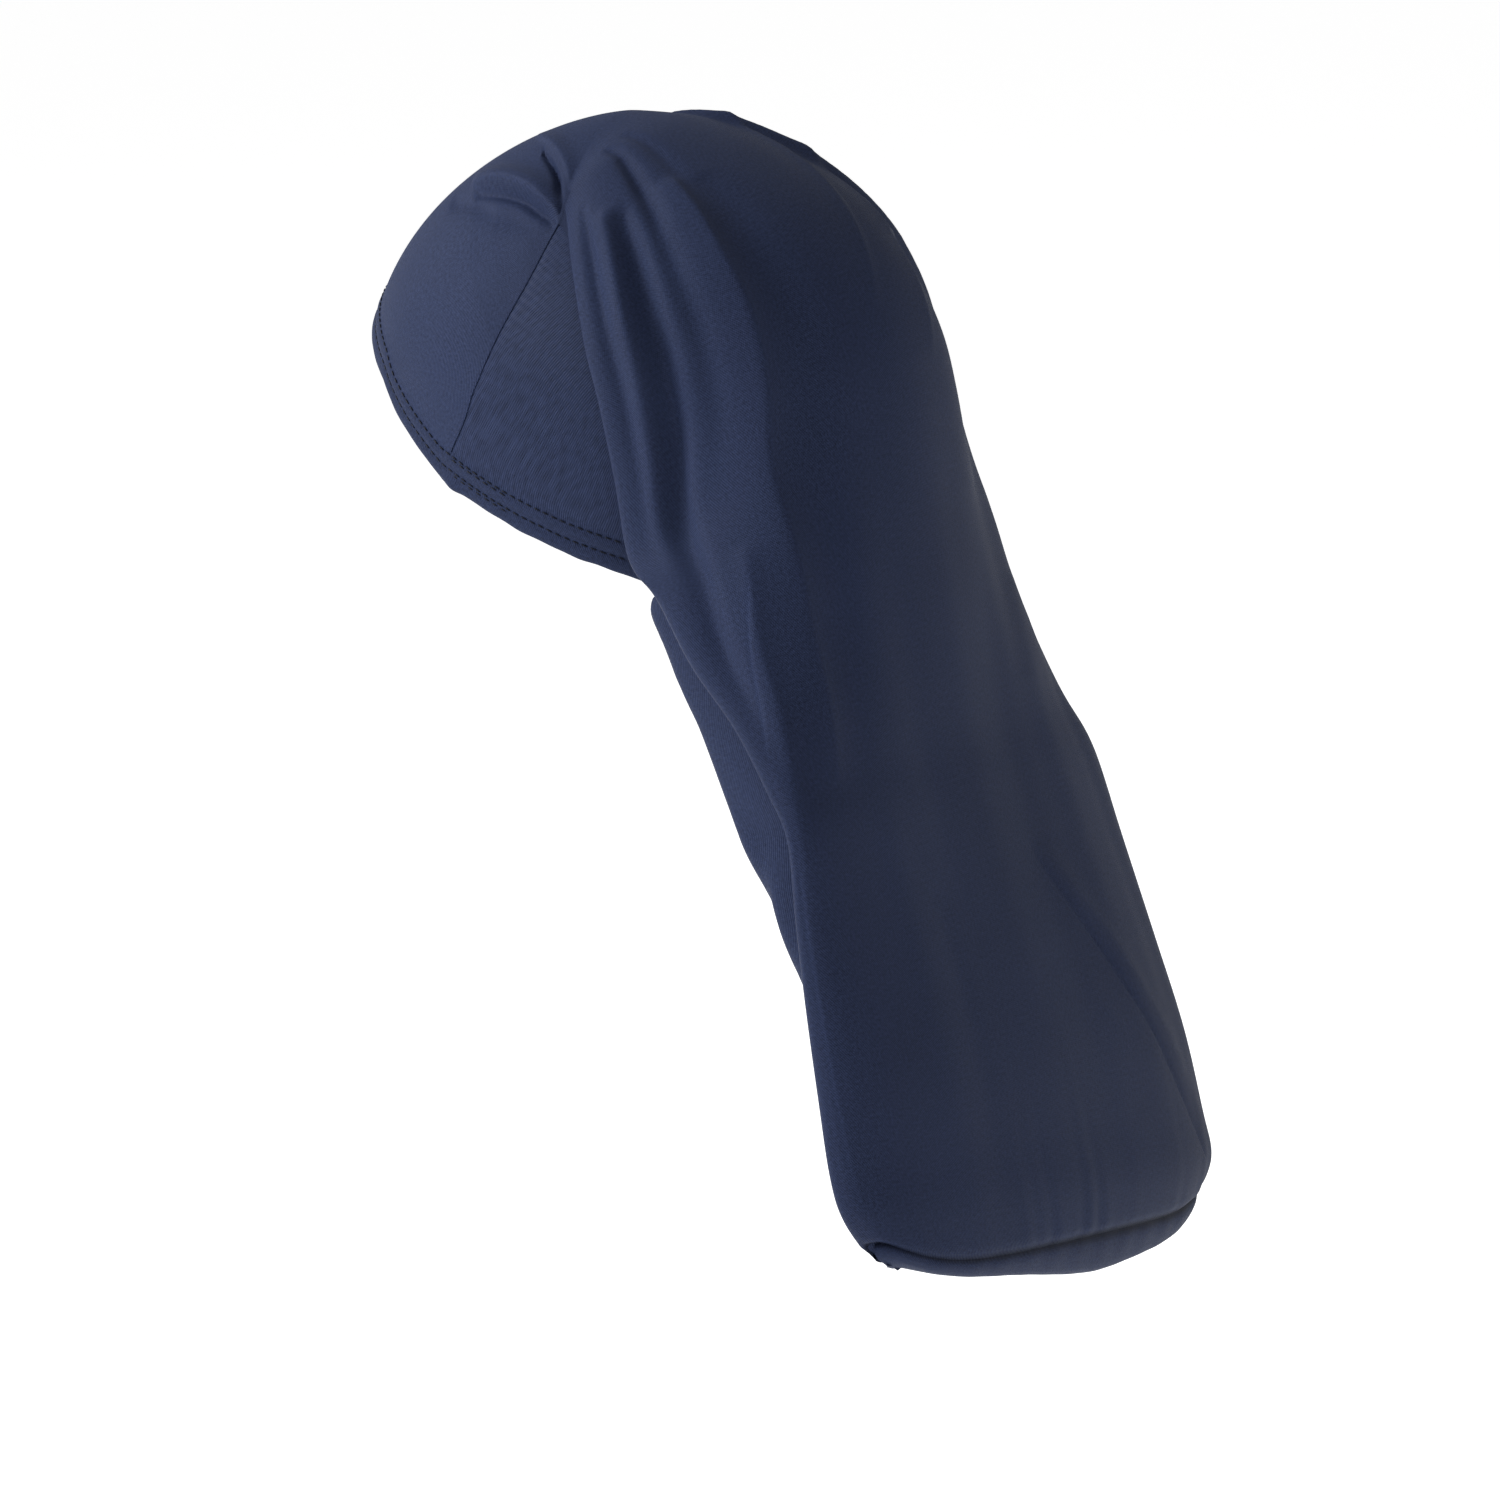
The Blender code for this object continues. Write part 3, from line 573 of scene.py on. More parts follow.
def fold_field(across, along):
    """Height of the folds over the outer panel, in metres."""
    total = np.zeros(across.shape)
    for fold in FOLDS:
        share = np.clip((along - fold.v0) / (fold.v1 - fold.v0), 0.0, 1.0)
        middle = fold.u0 + (fold.u1 - fold.u0) * share
        middle = middle + fold.bend * np.sin(math.pi * share)
        fade = np.clip(np.sin(math.pi * share ** 0.6), 0.0, 1.0) ** 0.7
        away = across - middle
        width = fold.width * (1.0 - fold.steep * np.sign(away))
        total += fold.height * 0.001 * fade * np.exp(-(abs(away) / width) ** fold.crisp)
    return total * np.clip((1.0 - abs(across)) / FOLD_MARGIN, 0.0, 1.0)


def outer_grid():
    """Points of the outer panel's face, forehead to bottom, right to left."""
    front = front_grid()
    rows = [front[-1]]
    rows += [crown_row(row) for row in CROWN_ROWS]
    rows += [hang_row(row) for row in HANG_ROWS]
    grid = np.concatenate([front[:-1], loft(rows, BAG_ROWS + 1)])
    grid = blended_join(grid)
    across, along = places()
    height = fold_field(across, along) + bottom_gather(across, along)
    height[0] = 0.0
    grid = grid + grid_normals(grid) * height[:, :, None]
    return clear_edges(grid)


def blended_join(grid):
    """The grid with the kink between head and bag rows smoothed out of its main face."""
    smooth = grid.copy()
    for _ in range(6):
        smooth[1:-1] = (smooth[:-2] + 2 * smooth[1:-1] + smooth[2:]) / 4
    rows = np.arange(len(grid))[:, None]
    near = np.exp(-((rows - FRONT_ROWS) / 8.0) ** 2)
    across = abs(places()[0])
    share = (near * np.clip((0.97 - across) / 0.1, 0.0, 1.0))[:, :, None]
    return grid * (1.0 - share) + smooth * share


def bottom_gather(across, along):
    """Roll and small puckers where the outer panel runs into the bottom seam."""
    above = (1.0 - along) * (BAG_DROP + BAG_BACK)
    roll = -SEAM_ROLL * np.exp(-(above / SEAM_REACH) ** SEAM_BEND)
    reach = 0.012 + 0.008 * np.sin(23.0 * across + 1.0)
    wave = np.sin(38.0 * across + 2.2 * np.sin(9.0 * across)) + 0.6 * np.sin(71.0 * across + 0.8)
    near = np.clip(0.55 + 0.45 * np.sin(6.0 * across + 0.7), 0.0, 1.0)
    pucker = PUCKER * near * wave * np.exp(-above / reach)
    return roll + pucker * np.clip(above / SEAM_FLAT, 0.0, 1.0)


def clear_edges(grid):
    """The grid with its turned edges kept clear of the side panel and the hem."""
    lowest = CENTRE_Z + HEAD_TAPER * math.sin(math.radians(-32))
    near_edge = LIP_COLUMNS + MAIN_COLUMNS // 16
    for row in range(FRONT_ROWS + 1, len(grid)):
        for column in range(near_edge):
            lift = LIP_CLEAR if column < LIP_COLUMNS else FOLD_CLEAR
            for place in (column, -1 - column):
                if grid[row, place, 2] > lowest:
                    grid[row, place] = cleared(grid[row, place], lift)
    return grid


def under_half(tip, corner, middle, full):
    """Half a row of the under panel, from its middle to the seam with the outer panel."""
    points = []
    for share in (0.0, 0.25, 0.5, 0.72, 0.9):
        part = share ** full
        points.append([corner[0] * share, middle[1] + (corner[1] - middle[1]) * part,
                       middle[2] + (corner[2] - middle[2]) * part])
    points.append(corner)
    points.append(tip)
    return smooth_line(points, UNDER_COLUMNS + 1)


def under_rows():
    """Rows of the under panel, from the nape seam to the bottom seam on the rear face."""
    rows = [nape_row(share, lift)
            for share, lift in zip(np.linspace(0.0, 1.0, len(NAPE_LIFTS)), NAPE_LIFTS)]
    for hang, under in zip(HANG_ROWS, UNDER_TABLE):
        tip = seam_tip(hang) - np.array([TIP_GAP + CORNER_GAP * hang.bow, 0.0, 0.0])
        corner = hang_edge(hang) + FORWARD * under.ahead * BAG_DEPTH
        corner[0] = under.corner * hang.half * BAG_WIDTH / 2
        middle = np.array([0.0, HALF_LENGTH + under.mid_back * BAG_BACK,
                           CENTRE_Z - under.mid_drop * BAG_DROP])
        rows.append(skewed(mirrored(under_half(tip, corner, middle, under.full)), hang))
    return rows + wrap_rows(rows[-1])


def nape_row(share, lift):
    """A row round the nape, from the hidden seam down over the hem."""
    marks = HIDDEN_SEAM[NAPE_MARK:]
    half = []
    for column in range(UNDER_COLUMNS + 1):
        side = column / UNDER_COLUMNS
        lon = 180.0 - (180.0 - marks[0].lon - NAPE_INSET) * side
        place = np.interp(lon, [mark.lon for mark in marks], range(len(marks)))
        top = smooth_table(HIDDEN_SEAM, NAPE_MARK + place)[1]
        lat = top + (hem_lat(lon) - top) * share * (1.0 - side ** 6)
        half.append(head_point(lon, lat, lift))
    return mirrored(half)


def wrap_rows(front):
    """Rows that carry the under panel round the bottom to the seam on the rear face."""
    bottom = hang_row(HANG_ROWS[-1])[LIP_COLUMNS:-LIP_COLUMNS]
    rear = even(bottom, 2 * UNDER_COLUMNS + 1) - np.array([0.0, 0.0, BOTTOM_GAP])
    side = np.linspace(-1.0, 1.0, len(rear))
    away = abs(side - CRESCENT_PLACE) / (1.0 - CRESCENT_PLACE * np.sign(side - CRESCENT_PLACE))
    left = 0.5 * np.cos(math.pi / 2 * away) ** 2 + 0.5 * (1.0 - away)
    sag = CORNER_SAG + (CRESCENT - CORNER_SAG) * np.where(
        side > CRESCENT_PLACE, left, 1.0 - away ** CRESCENT_POWER)
    rows = []
    for turn in np.radians(WRAP_TURNS):
        row = front + (rear - front) * (1.0 - math.cos(turn)) / 2
        row[:, 2] -= sag * math.sin(turn)
        rows.append(row)
    return rows


def under_grid():
    """Points of the under panel, nape to bottom and round to the bottom seam."""
    rows = np.array(under_rows())
    last = len(HANG_ROWS) + len(NAPE_LIFTS) - 1
    stops = [*np.linspace(0, last, UNDER_ROWS + 1),
             *np.linspace(last, len(rows) - 1, WRAP_ROWS + 1)[1:]]
    grid = np.array([smooth_rows(rows, stop) for stop in stops])
    return grid - grid_normals(grid) * under_relief(grid)[:, :, None]


def under_relief(grid):
    """Soft folds of the under panel, and its roll into the bottom seam, in metres."""
    rows, columns = grid.shape[:2]
    along = np.linspace(0.0, 1.0, rows)[:, None]
    across = np.linspace(-1.0, 1.0, columns)[None]
    inside = np.clip((1.0 - abs(across)) / 0.10, 0.0, 1.0) * np.clip(along / 0.15, 0.0, 1.0)
    waves = UNDER_WAVE * np.sin(9.0 * across + 2.0 * along) * np.sin(math.pi * along)
    for dent in UNDER_DENTS:
        away = (across - dent.across - 0.5 * (along - 0.4)) / dent.width
        past = (along - dent.down) / dent.length
        waves = waves + dent.height * 0.001 * np.exp(-away ** 2 - past ** 2)
    from_seam = np.arange(rows)[::-1, None] * UNDER_STEP
    roll = -SEAM_ROLL * np.exp(-(from_seam / SEAM_REACH) ** SEAM_BEND)
    pucker = UNDER_PUCKER * np.sin(44.0 * across) * np.exp(-from_seam / 0.006)
    return waves * inside + roll + pucker * np.clip(from_seam / SEAM_FLAT, 0.0, 1.0)


def under_places(grid):
    """Places for the shading of the under panel: off the pressed lines, 1 at the seam."""
    above = 1.0 - np.arange(len(grid))[::-1, None] * UNDER_ROW_SHARE
    across = np.full(grid.shape[:2], OFF_LINES)
    return np.stack([across, np.broadcast_to(above, across.shape)], 2)


def band_grid():
    """Points of the side and nape panel, top to hem, right side seam round to the left."""
    marks = [np.array([*smooth_table(HIDDEN_SEAM, place), 0.0])
             for place in np.linspace(0.0, len(HIDDEN_SEAM) - 1, 200)]
    across = np.linspace(0.0, 1.0, BAND_COLUMNS + 1)
    lap = np.array([-SEAM_LAP, APEX_LAP])
    high = even(marks, BAND_COLUMNS + 1)[::-1, :2] + lap * across[:, None] ** 8
    lons = 180.0 + (SIDE_SEAM[0].lon - SEAM_LAP - 180.0) * across
    low = np.array([[lon, lat_above(lon, LAP_HEIGHT)] for lon in lons])
    grid = []
    for share in np.linspace(0.0, 1.0, BAND_ROWS + 1):
        seam = side_seam(share) + lap * [1.0, share ** 4]
        half = []
        for place, (lon, lat) in zip(across, patch_row(low, high, seam, across, share)):
            seam_here = np.interp(lat, SEAM_PLACES[:, 1], SEAM_PLACES[:, 0])
            under = np.clip((0.8 + seam_here - lon) / 1.6, 0.0, 1.0) if place > 0.8 else 0.0
            tuck = SEAM_TUCK * max(under, share ** 12 * place ** 8)
            half.append(head_point(lon, lat, -tuck))
        grid.append(mirrored(half))
    return np.array(grid)[::-1]


def lengths(grid):
    """Lengths along the cloth, across and down, at each point of a grid."""
    middle = grid.shape[1] // 2
    steps = np.linalg.norm(np.diff(grid, axis=1), axis=2)
    across = np.concatenate([np.zeros((len(grid), 1)), np.cumsum(steps, axis=1)], 1)
    across -= across[:, middle:middle + 1]
    falls = np.linalg.norm(np.diff(grid, axis=0), axis=2)
    quarter = middle // 2
    fall = falls[:, quarter:-quarter:quarter].mean(axis=1)
    down = np.concatenate([[0.0], np.cumsum(fall)])
    return np.stack([across, np.broadcast_to(down[:, None], across.shape)], 2)


def cloth(name, grid, material, side=1.0, place=None):
    """A closed cloth wall: a fine outer face, and a coarser inner side one wall in."""
    normals = grid_normals(grid) * side
    rows, columns = grid.shape[:2]
    pick_rows = list(range(0, rows, INNER_STEP))
    pick_columns = list(range(0, columns, INNER_STEP))
    inner_grid = (grid - normals * WALL)[pick_rows][:, pick_columns]
    count = rows * columns
    width = len(pick_columns)

    def outer(i, j):
        return i * columns + j

    def inner(i, j):
        return count + i * width + j

    faces = []
    for i in range(rows - 1):
        for j in range(columns - 1):
            faces.append((outer(i, j), outer(i + 1, j), outer(i + 1, j + 1), outer(i, j + 1)))
    for i in range(len(pick_rows) - 1):
        for j in range(width - 1):
            faces.append((inner(i, j), inner(i, j + 1), inner(i + 1, j + 1), inner(i + 1, j)))
    for i in range(len(pick_rows) - 1):
        fine = range(i * INNER_STEP, (i + 1) * INNER_STEP + 1)
        left = [outer(k, 0) for k in fine]
        faces.append((*reversed(left), inner(i, 0), inner(i + 1, 0)))
        right = [outer(k, columns - 1) for k in fine]
        faces.append((*right, inner(i + 1, width - 1), inner(i, width - 1)))
    for j in range(width - 1):
        fine = range(j * INNER_STEP, (j + 1) * INNER_STEP + 1)
        top = [outer(0, k) for k in fine]
        faces.append((*top, inner(0, j + 1), inner(0, j)))
        bottom = [outer(rows - 1, k) for k in fine]
        last = len(pick_rows) - 1
        faces.append((*reversed(bottom), inner(last, j), inner(last, j + 1)))
    if side < 0:
        faces = [tuple(reversed(face)) for face in faces]
    points = np.concatenate([grid.reshape(-1, 3), inner_grid.reshape(-1, 3)])
    lie = lengths(grid)
    maps = {"Cloth": spread(lie, pick_rows, pick_columns)}
    if place is not None:
        maps["Place"] = spread(place, pick_rows, pick_columns)
    return finish(name, points, faces, maps, material)


def spread(values, pick_rows, pick_columns):
    """Values of the fine grid followed by those of the coarse one."""
    picked = values[pick_rows][:, pick_columns]
    return np.concatenate([values.reshape(-1, 2), picked.reshape(-1, 2)])


def finish(name, points, faces, maps, material):
    """A mesh object from points and faces, smooth, with its UV maps and material."""
    data = bpy.data.meshes.new(name)
    data.from_pydata(points.tolist(), [], faces)
    loops = np.zeros(len(data.loops), int)
    data.loops.foreach_get("vertex_index", loops)
    for title, values in maps.items():
        layer = data.uv_layers.new(name=title)
        layer.data.foreach_set("uv", values[loops].ravel())
    data.uv_layers["Cloth"].active_render = True
    data.shade_smooth()
    data.set_sharp_from_angle(angle=math.radians(55))
    data.materials.append(material)
    data.validate()
    thing = bpy.data.objects.new(name, data)
    bpy.context.scene.collection.objects.link(thing)
    return thing


# Section of the hem: heights and lifts in millimetres, outer face from the lower edge up,
# then the inner side back down
Stop = namedtuple("Stop", "height lift")
HEM_STOPS = [
    Stop(0.0, -0.7), Stop(0.0, -0.2), Stop(0.3, 0.25), Stop(0.9, 0.60), Stop(1.9, 0.80),
    Stop(3.2, 0.75), Stop(4.5, 0.50), Stop(5.1, 0.16), Stop(5.5, 0.00), Stop(5.9, 0.14),
    Stop(6.8, 0.46), Stop(8.2, 0.58), Stop(9.6, 0.42), Stop(10.4, 0.12), Stop(10.9, -0.08),
    Stop(11.3, -0.02), Stop(11.8, -0.10), Stop(12.4, -0.60), Stop(12.4, -1.20),
    Stop(11.4, -1.50), Stop(9.0, -1.60), Stop(6.0, -1.60), Stop(3.0, -1.60),
    Stop(1.2, -1.55), Stop(0.3, -1.15),
]
STITCH_ROWS = (0.0055, 0.0109)

# Bump of the hem where the side seams run into it, its spread in degrees, and the low part
# of the hem that it moves, in millimetres
HEM_BUMP = 0.0010
BUMP_SPREAD = 2.2
BUMP_HEIGHT = 6.0

# Where the ends of the stitch rows overlap beside each side seam, in degrees, how far the
# second end lies below the first, and how high the rows stand on the cloth
OVERLAP = (68.0, 80.0)
OVERLAP_DROP = 0.0010
STITCH_LIFT = 0.00018
OVERLAP_LIFT = 0.00040


def hem_ring(material):
    """The turned hem: one closed ring round the face and nape."""
    points = []
    lie = []
    lons = np.linspace(-180.0, 180.0, HEM_COLUMNS, endpoint=False)
    run = 0.0
    for lon in lons:
        seam = math.exp(-((abs(lon) - SIDE_SEAM[0].lon) / BUMP_SPREAD) ** 2) * HEM_BUMP
        turn = math.radians(lon)
        ripple = 0.00012 * math.sin(turn * 31) + 0.0001 * math.sin(turn * 53)
        for stop in HEM_STOPS:
            low = max(0.0, 1.0 - stop.height / BUMP_HEIGHT)
            height = stop.height / 1000 - (seam * 0.8 + ripple) * low
            lift = stop.lift / 1000 + (seam * low if stop.lift > -0.3 else 0.0)
            points.append(head_point(lon, lat_above(lon, height), lift))
            lie.append((run, stop.height / 1000))
        run += 2 * math.pi * (HALF_WIDTH + HALF_LENGTH) / 2 / HEM_COLUMNS
    count = len(HEM_STOPS)
    faces = []
    for ring in range(HEM_COLUMNS):
        after = (ring + 1) % HEM_COLUMNS
        for place in range(count):
            follow = (place + 1) % count
            faces.append((ring * count + place, after * count + place,
                          after * count + follow, ring * count + follow))
    return finish("hem_band", np.array(points), faces, {"Cloth": np.array(lie)}, material)


def named_socket(group, name, kind, output=False, default=None, low=None, high=None):
    """A named input or output of a node group."""
    socket = group.interface.new_socket(
        name=name, in_out="OUTPUT" if output else "INPUT", socket_type=kind)
    if default is not None:
        socket.default_value = default
    if low is not None:
        socket.min_value = low
    if high is not None:
        socket.max_value = high
    return socket


def set_inputs(tree, node, inputs):
    """Gives a node's inputs their numbers, or links them to other sockets."""
    for name, value in inputs.items():
        if isinstance(value, bpy.types.NodeSocket):
            tree.links.new(value, node.inputs[name])
        else:
            node.inputs[name].default_value = value


def add_node(tree, kind, inputs=None, **settings):
    """A new node with its settings and its inputs."""
    node = tree.nodes.new(kind)
    for name, value in settings.items():
        setattr(node, name, value)
    set_inputs(tree, node, inputs or {})
    return node


def mapped(tree, value, reach, result):
    """A value carried from one range to another and held at its ends."""
    node = add_node(tree, "ShaderNodeMapRange", {
        "Value": value, "From Min": reach[0], "From Max": reach[1],
        "To Min": result[0], "To Max": result[1]})
    return node.outputs["Result"]


def arithmetic(group, operation, first, second=None, third=None, clamp=False):
    """A Math node, with numbers or sockets for its inputs, and its output socket."""
    values = enumerate((first, second, third))
    inputs = {place: value for place, value in values if value is not None}
    node = add_node(group, "ShaderNodeMath", inputs, operation=operation, use_clamp=clamp)
    return node.outputs[0]


def knit_group():
    """Group that puts out the height and tone of fine slanted jersey ribs."""
    group = bpy.data.node_groups.new("Jersey knit", "ShaderNodeTree")
    named_socket(group, "Cloth", "NodeSocketVector")
    named_socket(group, "Rib pitch", "NodeSocketFloat", default=0.0008)
    named_socket(group, "Slant", "NodeSocketFloat", default=0.6)
    named_socket(group, "Height", "NodeSocketFloat", output=True)
    named_socket(group, "Grain", "NodeSocketFloat", output=True)
    start = group.nodes.new("NodeGroupInput").outputs
    where = start["Cloth"]
    split = add_node(group, "ShaderNodeSeparateXYZ", {0: where}).outputs
    sway = add_node(group, "ShaderNodeTexNoise", {"Scale": 90.0, "Detail": 2.0, "Vector": where})
    fuzz = add_node(group, "ShaderNodeTexNoise", {"Scale": 900.0, "Detail": 3.0, "Vector": where})
    leaning = arithmetic(group, "MULTIPLY_ADD", split["Y"], start["Slant"], split["X"])
    swayed = arithmetic(group, "MULTIPLY_ADD", sway.outputs["Fac"], 0.0002, leaning)
    across = arithmetic(group, "DIVIDE", swayed, start["Rib pitch"])
    down = arithmetic(group, "DIVIDE", split["Y"], start["Rib pitch"])
    rib = arithmetic(group, "SINE", arithmetic(group, "MULTIPLY", across, 2 * math.pi))
    loop = arithmetic(group, "SINE", arithmetic(group, "MULTIPLY", down, 2 * math.pi * 1.25))
    loops = arithmetic(group, "MULTIPLY_ADD", loop, 0.35, 0.65)
    height = arithmetic(group, "MULTIPLY", rib, loops)
    add_node(group, "NodeGroupOutput", {"Height": height, "Grain": fuzz.outputs["Fac"]})
    return group


def press_group():
    """Group that puts out how close a place of the panel is to a pressed line."""
    group = bpy.data.node_groups.new("Pressed line", "ShaderNodeTree")
    named_socket(group, "Place", "NodeSocketVector")
    for name in ("Start across", "Start down", "End across", "End down"):
        named_socket(group, name, "NodeSocketFloat")
    named_socket(group, "Half width", "NodeSocketFloat", default=0.01)
    named_socket(group, "Mask", "NodeSocketFloat", output=True)
    start = group.nodes.new("NodeGroupInput").outputs
    split = add_node(group, "ShaderNodeSeparateXYZ", {0: start["Place"]}).outputs
    fall = arithmetic(group, "SUBTRACT", start["End down"], start["Start down"])
    reach = arithmetic(group, "SUBTRACT", split["Y"], start["Start down"])
    share = arithmetic(group, "DIVIDE", reach, fall)
    run = arithmetic(group, "SUBTRACT", start["End across"], start["Start across"])
    line = arithmetic(group, "MULTIPLY_ADD", run, share, start["Start across"])
    away = arithmetic(group, "ABSOLUTE", arithmetic(group, "SUBTRACT", split["X"], line))
    near = arithmetic(group, "DIVIDE", away, start["Half width"])
    peak = arithmetic(group, "SUBTRACT", 1.0, near, clamp=True)
    into = arithmetic(group, "MULTIPLY", share, 6.0, clamp=True)
    left = arithmetic(group, "SUBTRACT", 1.0, share)
    out = arithmetic(group, "MULTIPLY", left, 6.0, clamp=True)
    ends = arithmetic(group, "MULTIPLY", into, out)
    add_node(group, "NodeGroupOutput", {"Mask": arithmetic(group, "MULTIPLY", peak, ends)})
    return group


def pressed_lines_and_painted_light(tree, level, height):
    """Tone and height with the pressed lines, where the raised tone is a painted highlight, and
    with the painted shadow in the bottom seam.
    """
    place = add_node(tree, "ShaderNodeUVMap", uv_map="Place").outputs["UV"]
    group = bpy.data.node_groups.get("Pressed line") or press_group()
    mask = 0.0
    for press in PRESSES:
        line = add_node(tree, "ShaderNodeGroup", node_tree=group)
        set_inputs(tree, line, {
            "Place": place, "Start across": press.u0, "Start down": press.v0,
            "End across": press.u1, "End down": press.v1, "Half width": press.width})
        mask = arithmetic(tree, "MAXIMUM", line.outputs["Mask"], mask)
    down = add_node(tree, "ShaderNodeSeparateXYZ", {0: place}).outputs["Y"]
    shadow = mapped(tree, down, SEAM_SHADOW, (1.0, SEAM_TONE))
    # Painted highlight: the tone rises by up to 22 percent along the pressed lines.
    level = arithmetic(tree, "MULTIPLY_ADD", mask, 0.22, level)
    level = arithmetic(tree, "MULTIPLY", level, shadow)
    return level, arithmetic(tree, "MULTIPLY_ADD", mask, 2.0, height)


def jersey(name, colour, style, pressed=False):
    """Navy jersey with knit ribs, grain, soft sheen and broad changes of tone. Its tone also
    follows the rib height as painted shade in the grooves and painted light on the crests, and
    with pressed it takes the painted highlight of the pressed lines and the painted shadow in the
    bottom seam.
    """
    material = bpy.data.materials.new(name)
    material.use_nodes = True
    tree = material.node_tree
    where = add_node(tree, "ShaderNodeUVMap", uv_map="Cloth").outputs["UV"]
    group = bpy.data.node_groups.get("Jersey knit") or knit_group()
    knit = add_node(tree, "ShaderNodeGroup", node_tree=group)
    set_inputs(tree, knit, {"Rib pitch": style.rib_pitch, "Cloth": where})
    broad = add_node(tree, "ShaderNodeTexNoise", {"Scale": 14.0, "Detail": 3.0, "Vector": where})
    tone = mapped(tree, broad.outputs["Fac"], (0.3, 0.7), (0.93, 1.07))
    # Painted shade and light: the tone follows the rib height, darker in the grooves and lighter
    # on the crests, over the random broad tone.
    ribs = arithmetic(tree, "MULTIPLY_ADD", knit.outputs["Height"], 0.20, tone)
    grain = arithmetic(tree, "SUBTRACT", knit.outputs["Grain"], 0.5)
    level = arithmetic(tree, "MULTIPLY_ADD", grain, 1.2, ribs)
    height = arithmetic(tree, "MULTIPLY_ADD", grain, 0.5, knit.outputs["Height"])
    # With pressed, the tone takes the painted highlight of the pressed lines and the painted
    # shadow in the bottom seam.
    if pressed:
        level, height = pressed_lines_and_painted_light(tree, level, height)
    tint = add_node(tree, "ShaderNodeMix", {"Factor": 1.0, "A": (*colour, 1.0), "B": level},
                    data_type="RGBA", blend_type="MULTIPLY")
    bump = add_node(tree, "ShaderNodeBump", {
        "Strength": 1.0, "Distance": style.rib_depth, "Height": height})
    set_inputs(tree, tree.nodes["Principled BSDF"], {
        "Roughness": style.roughness, "Specular IOR Level": 0.06,
        "Sheen Weight": style.sheen, "Sheen Roughness": 0.42,
        "Sheen Tint": (0.55, 0.65, 1.0, 1.0), "Base Color": tint.outputs["Result"],
        "Normal": bump.outputs["Normal"]})
    return material


def thread_material(style):
    """Navy sewing thread, a little darker and glossier than the jersey."""
    material = bpy.data.materials.new("navy thread")
    material.use_nodes = True
    tree = material.node_tree
    where = tree.nodes.new("ShaderNodeTexCoord").outputs["Object"]
    twist = add_node(tree, "ShaderNodeTexNoise", {"Scale": 2500.0, "Vector": where})
    ramp = add_node(tree, "ShaderNodeValToRGB", {"Fac": twist.outputs["Fac"]})
    for element, tone in zip(ramp.color_ramp.elements, (0.6, 1.3)):
        element.color = (*(tone * part for part in style.thread), 1.0)
    bump = add_node(tree, "ShaderNodeBump", {
        "Distance": 0.00008, "Height": twist.outputs["Fac"]})
    set_inputs(tree, tree.nodes["Principled BSDF"], {
        "Roughness": 0.5, "Specular IOR Level": 0.12,
        "Base Color": ramp.outputs["Color"], "Normal": bump.outputs["Normal"]})
    return material


def stitch_tree():
    """Geometry nodes that lay one short stitch after another along a line."""
    tree = bpy.data.node_groups.new("Stitches along a line", "GeometryNodeTree")
    named_socket(tree, "Line", "NodeSocketGeometry")
    named_socket(tree, "Pitch", "NodeSocketFloat", default=0.0033, low=0.001)
    named_socket(tree, "Length", "NodeSocketFloat", default=0.0024, low=0.0005)
    named_socket(tree, "Thickness", "NodeSocketFloat", default=0.0005, low=0.0001)
    named_socket(tree, "Thread", "NodeSocketMaterial")
    named_socket(tree, "Stitches", "NodeSocketGeometry", output=True)
    start = tree.nodes.new("NodeGroupInput").outputs
    curve = add_node(tree, "GeometryNodeMeshToCurve", {0: start["Line"]})
    line = add_node(tree, "GeometryNodeResampleCurve", mode="LENGTH")
    set_inputs(tree, line, {"Curve": curve.outputs[0], "Length": start["Pitch"]})
    outward = add_node(tree, "GeometryNodeInputNamedAttribute", {"Name": "outward"},
                       data_type="FLOAT_VECTOR")
    tangent = tree.nodes.new("GeometryNodeInputTangent")
    lay = add_node(tree, "FunctionNodeAlignRotationToVector",
                   {"Vector": tangent.outputs[0]}, axis="X")
    turn = add_node(tree, "FunctionNodeAlignRotationToVector", {
        "Rotation": lay.outputs[0], "Vector": outward.outputs["Attribute"]},
                    axis="Z", pivot_axis="X")
    grain = add_node(tree, "GeometryNodeMeshUVSphere", {"Segments": 8, "Rings": 6, "Radius": 0.5})
    size = add_node(tree, "ShaderNodeCombineXYZ", {
        "X": start["Length"], "Y": start["Thickness"], "Z": start["Thickness"]})
    stitch = add_node(tree, "GeometryNodeTransform", {
        "Geometry": grain.outputs["Mesh"], "Scale": size.outputs[0]})
    row = add_node(tree, "GeometryNodeInstanceOnPoints", {
        "Points": line.outputs["Curve"], "Instance": stitch.outputs[0],
        "Rotation": turn.outputs[0]})
    real = add_node(tree, "GeometryNodeRealizeInstances", {0: row.outputs[0]})
    smooth = add_node(tree, "GeometryNodeSetShadeSmooth", {0: real.outputs[0]})
    coat = add_node(tree, "GeometryNodeSetMaterial", {
        "Geometry": smooth.outputs[0], "Material": start["Thread"]})
    add_node(tree, "NodeGroupOutput", {"Stitches": coat.outputs[0]})
    return tree


def line_object(name, runs):
    """Loose lines as one mesh. A run is points, outward directions and whether it closes."""
    points = []
    outs = []
    edges = []
    for run, out, closed in runs:
        first = len(points)
        points += list(run)
        outs += list(out)
        edges += [(first + k, first + k + 1) for k in range(len(run) - 1)]
        if closed:
            edges.append((len(points) - 1, first))
    data = bpy.data.meshes.new(name)
    data.from_pydata([tuple(point) for point in points], edges, [])
    layer = data.attributes.new("outward", "FLOAT_VECTOR", "POINT")
    layer.data.foreach_set("vector", np.array(outs).ravel())
    thing = bpy.data.objects.new(name, data)
    bpy.context.scene.collection.objects.link(thing)
    return thing


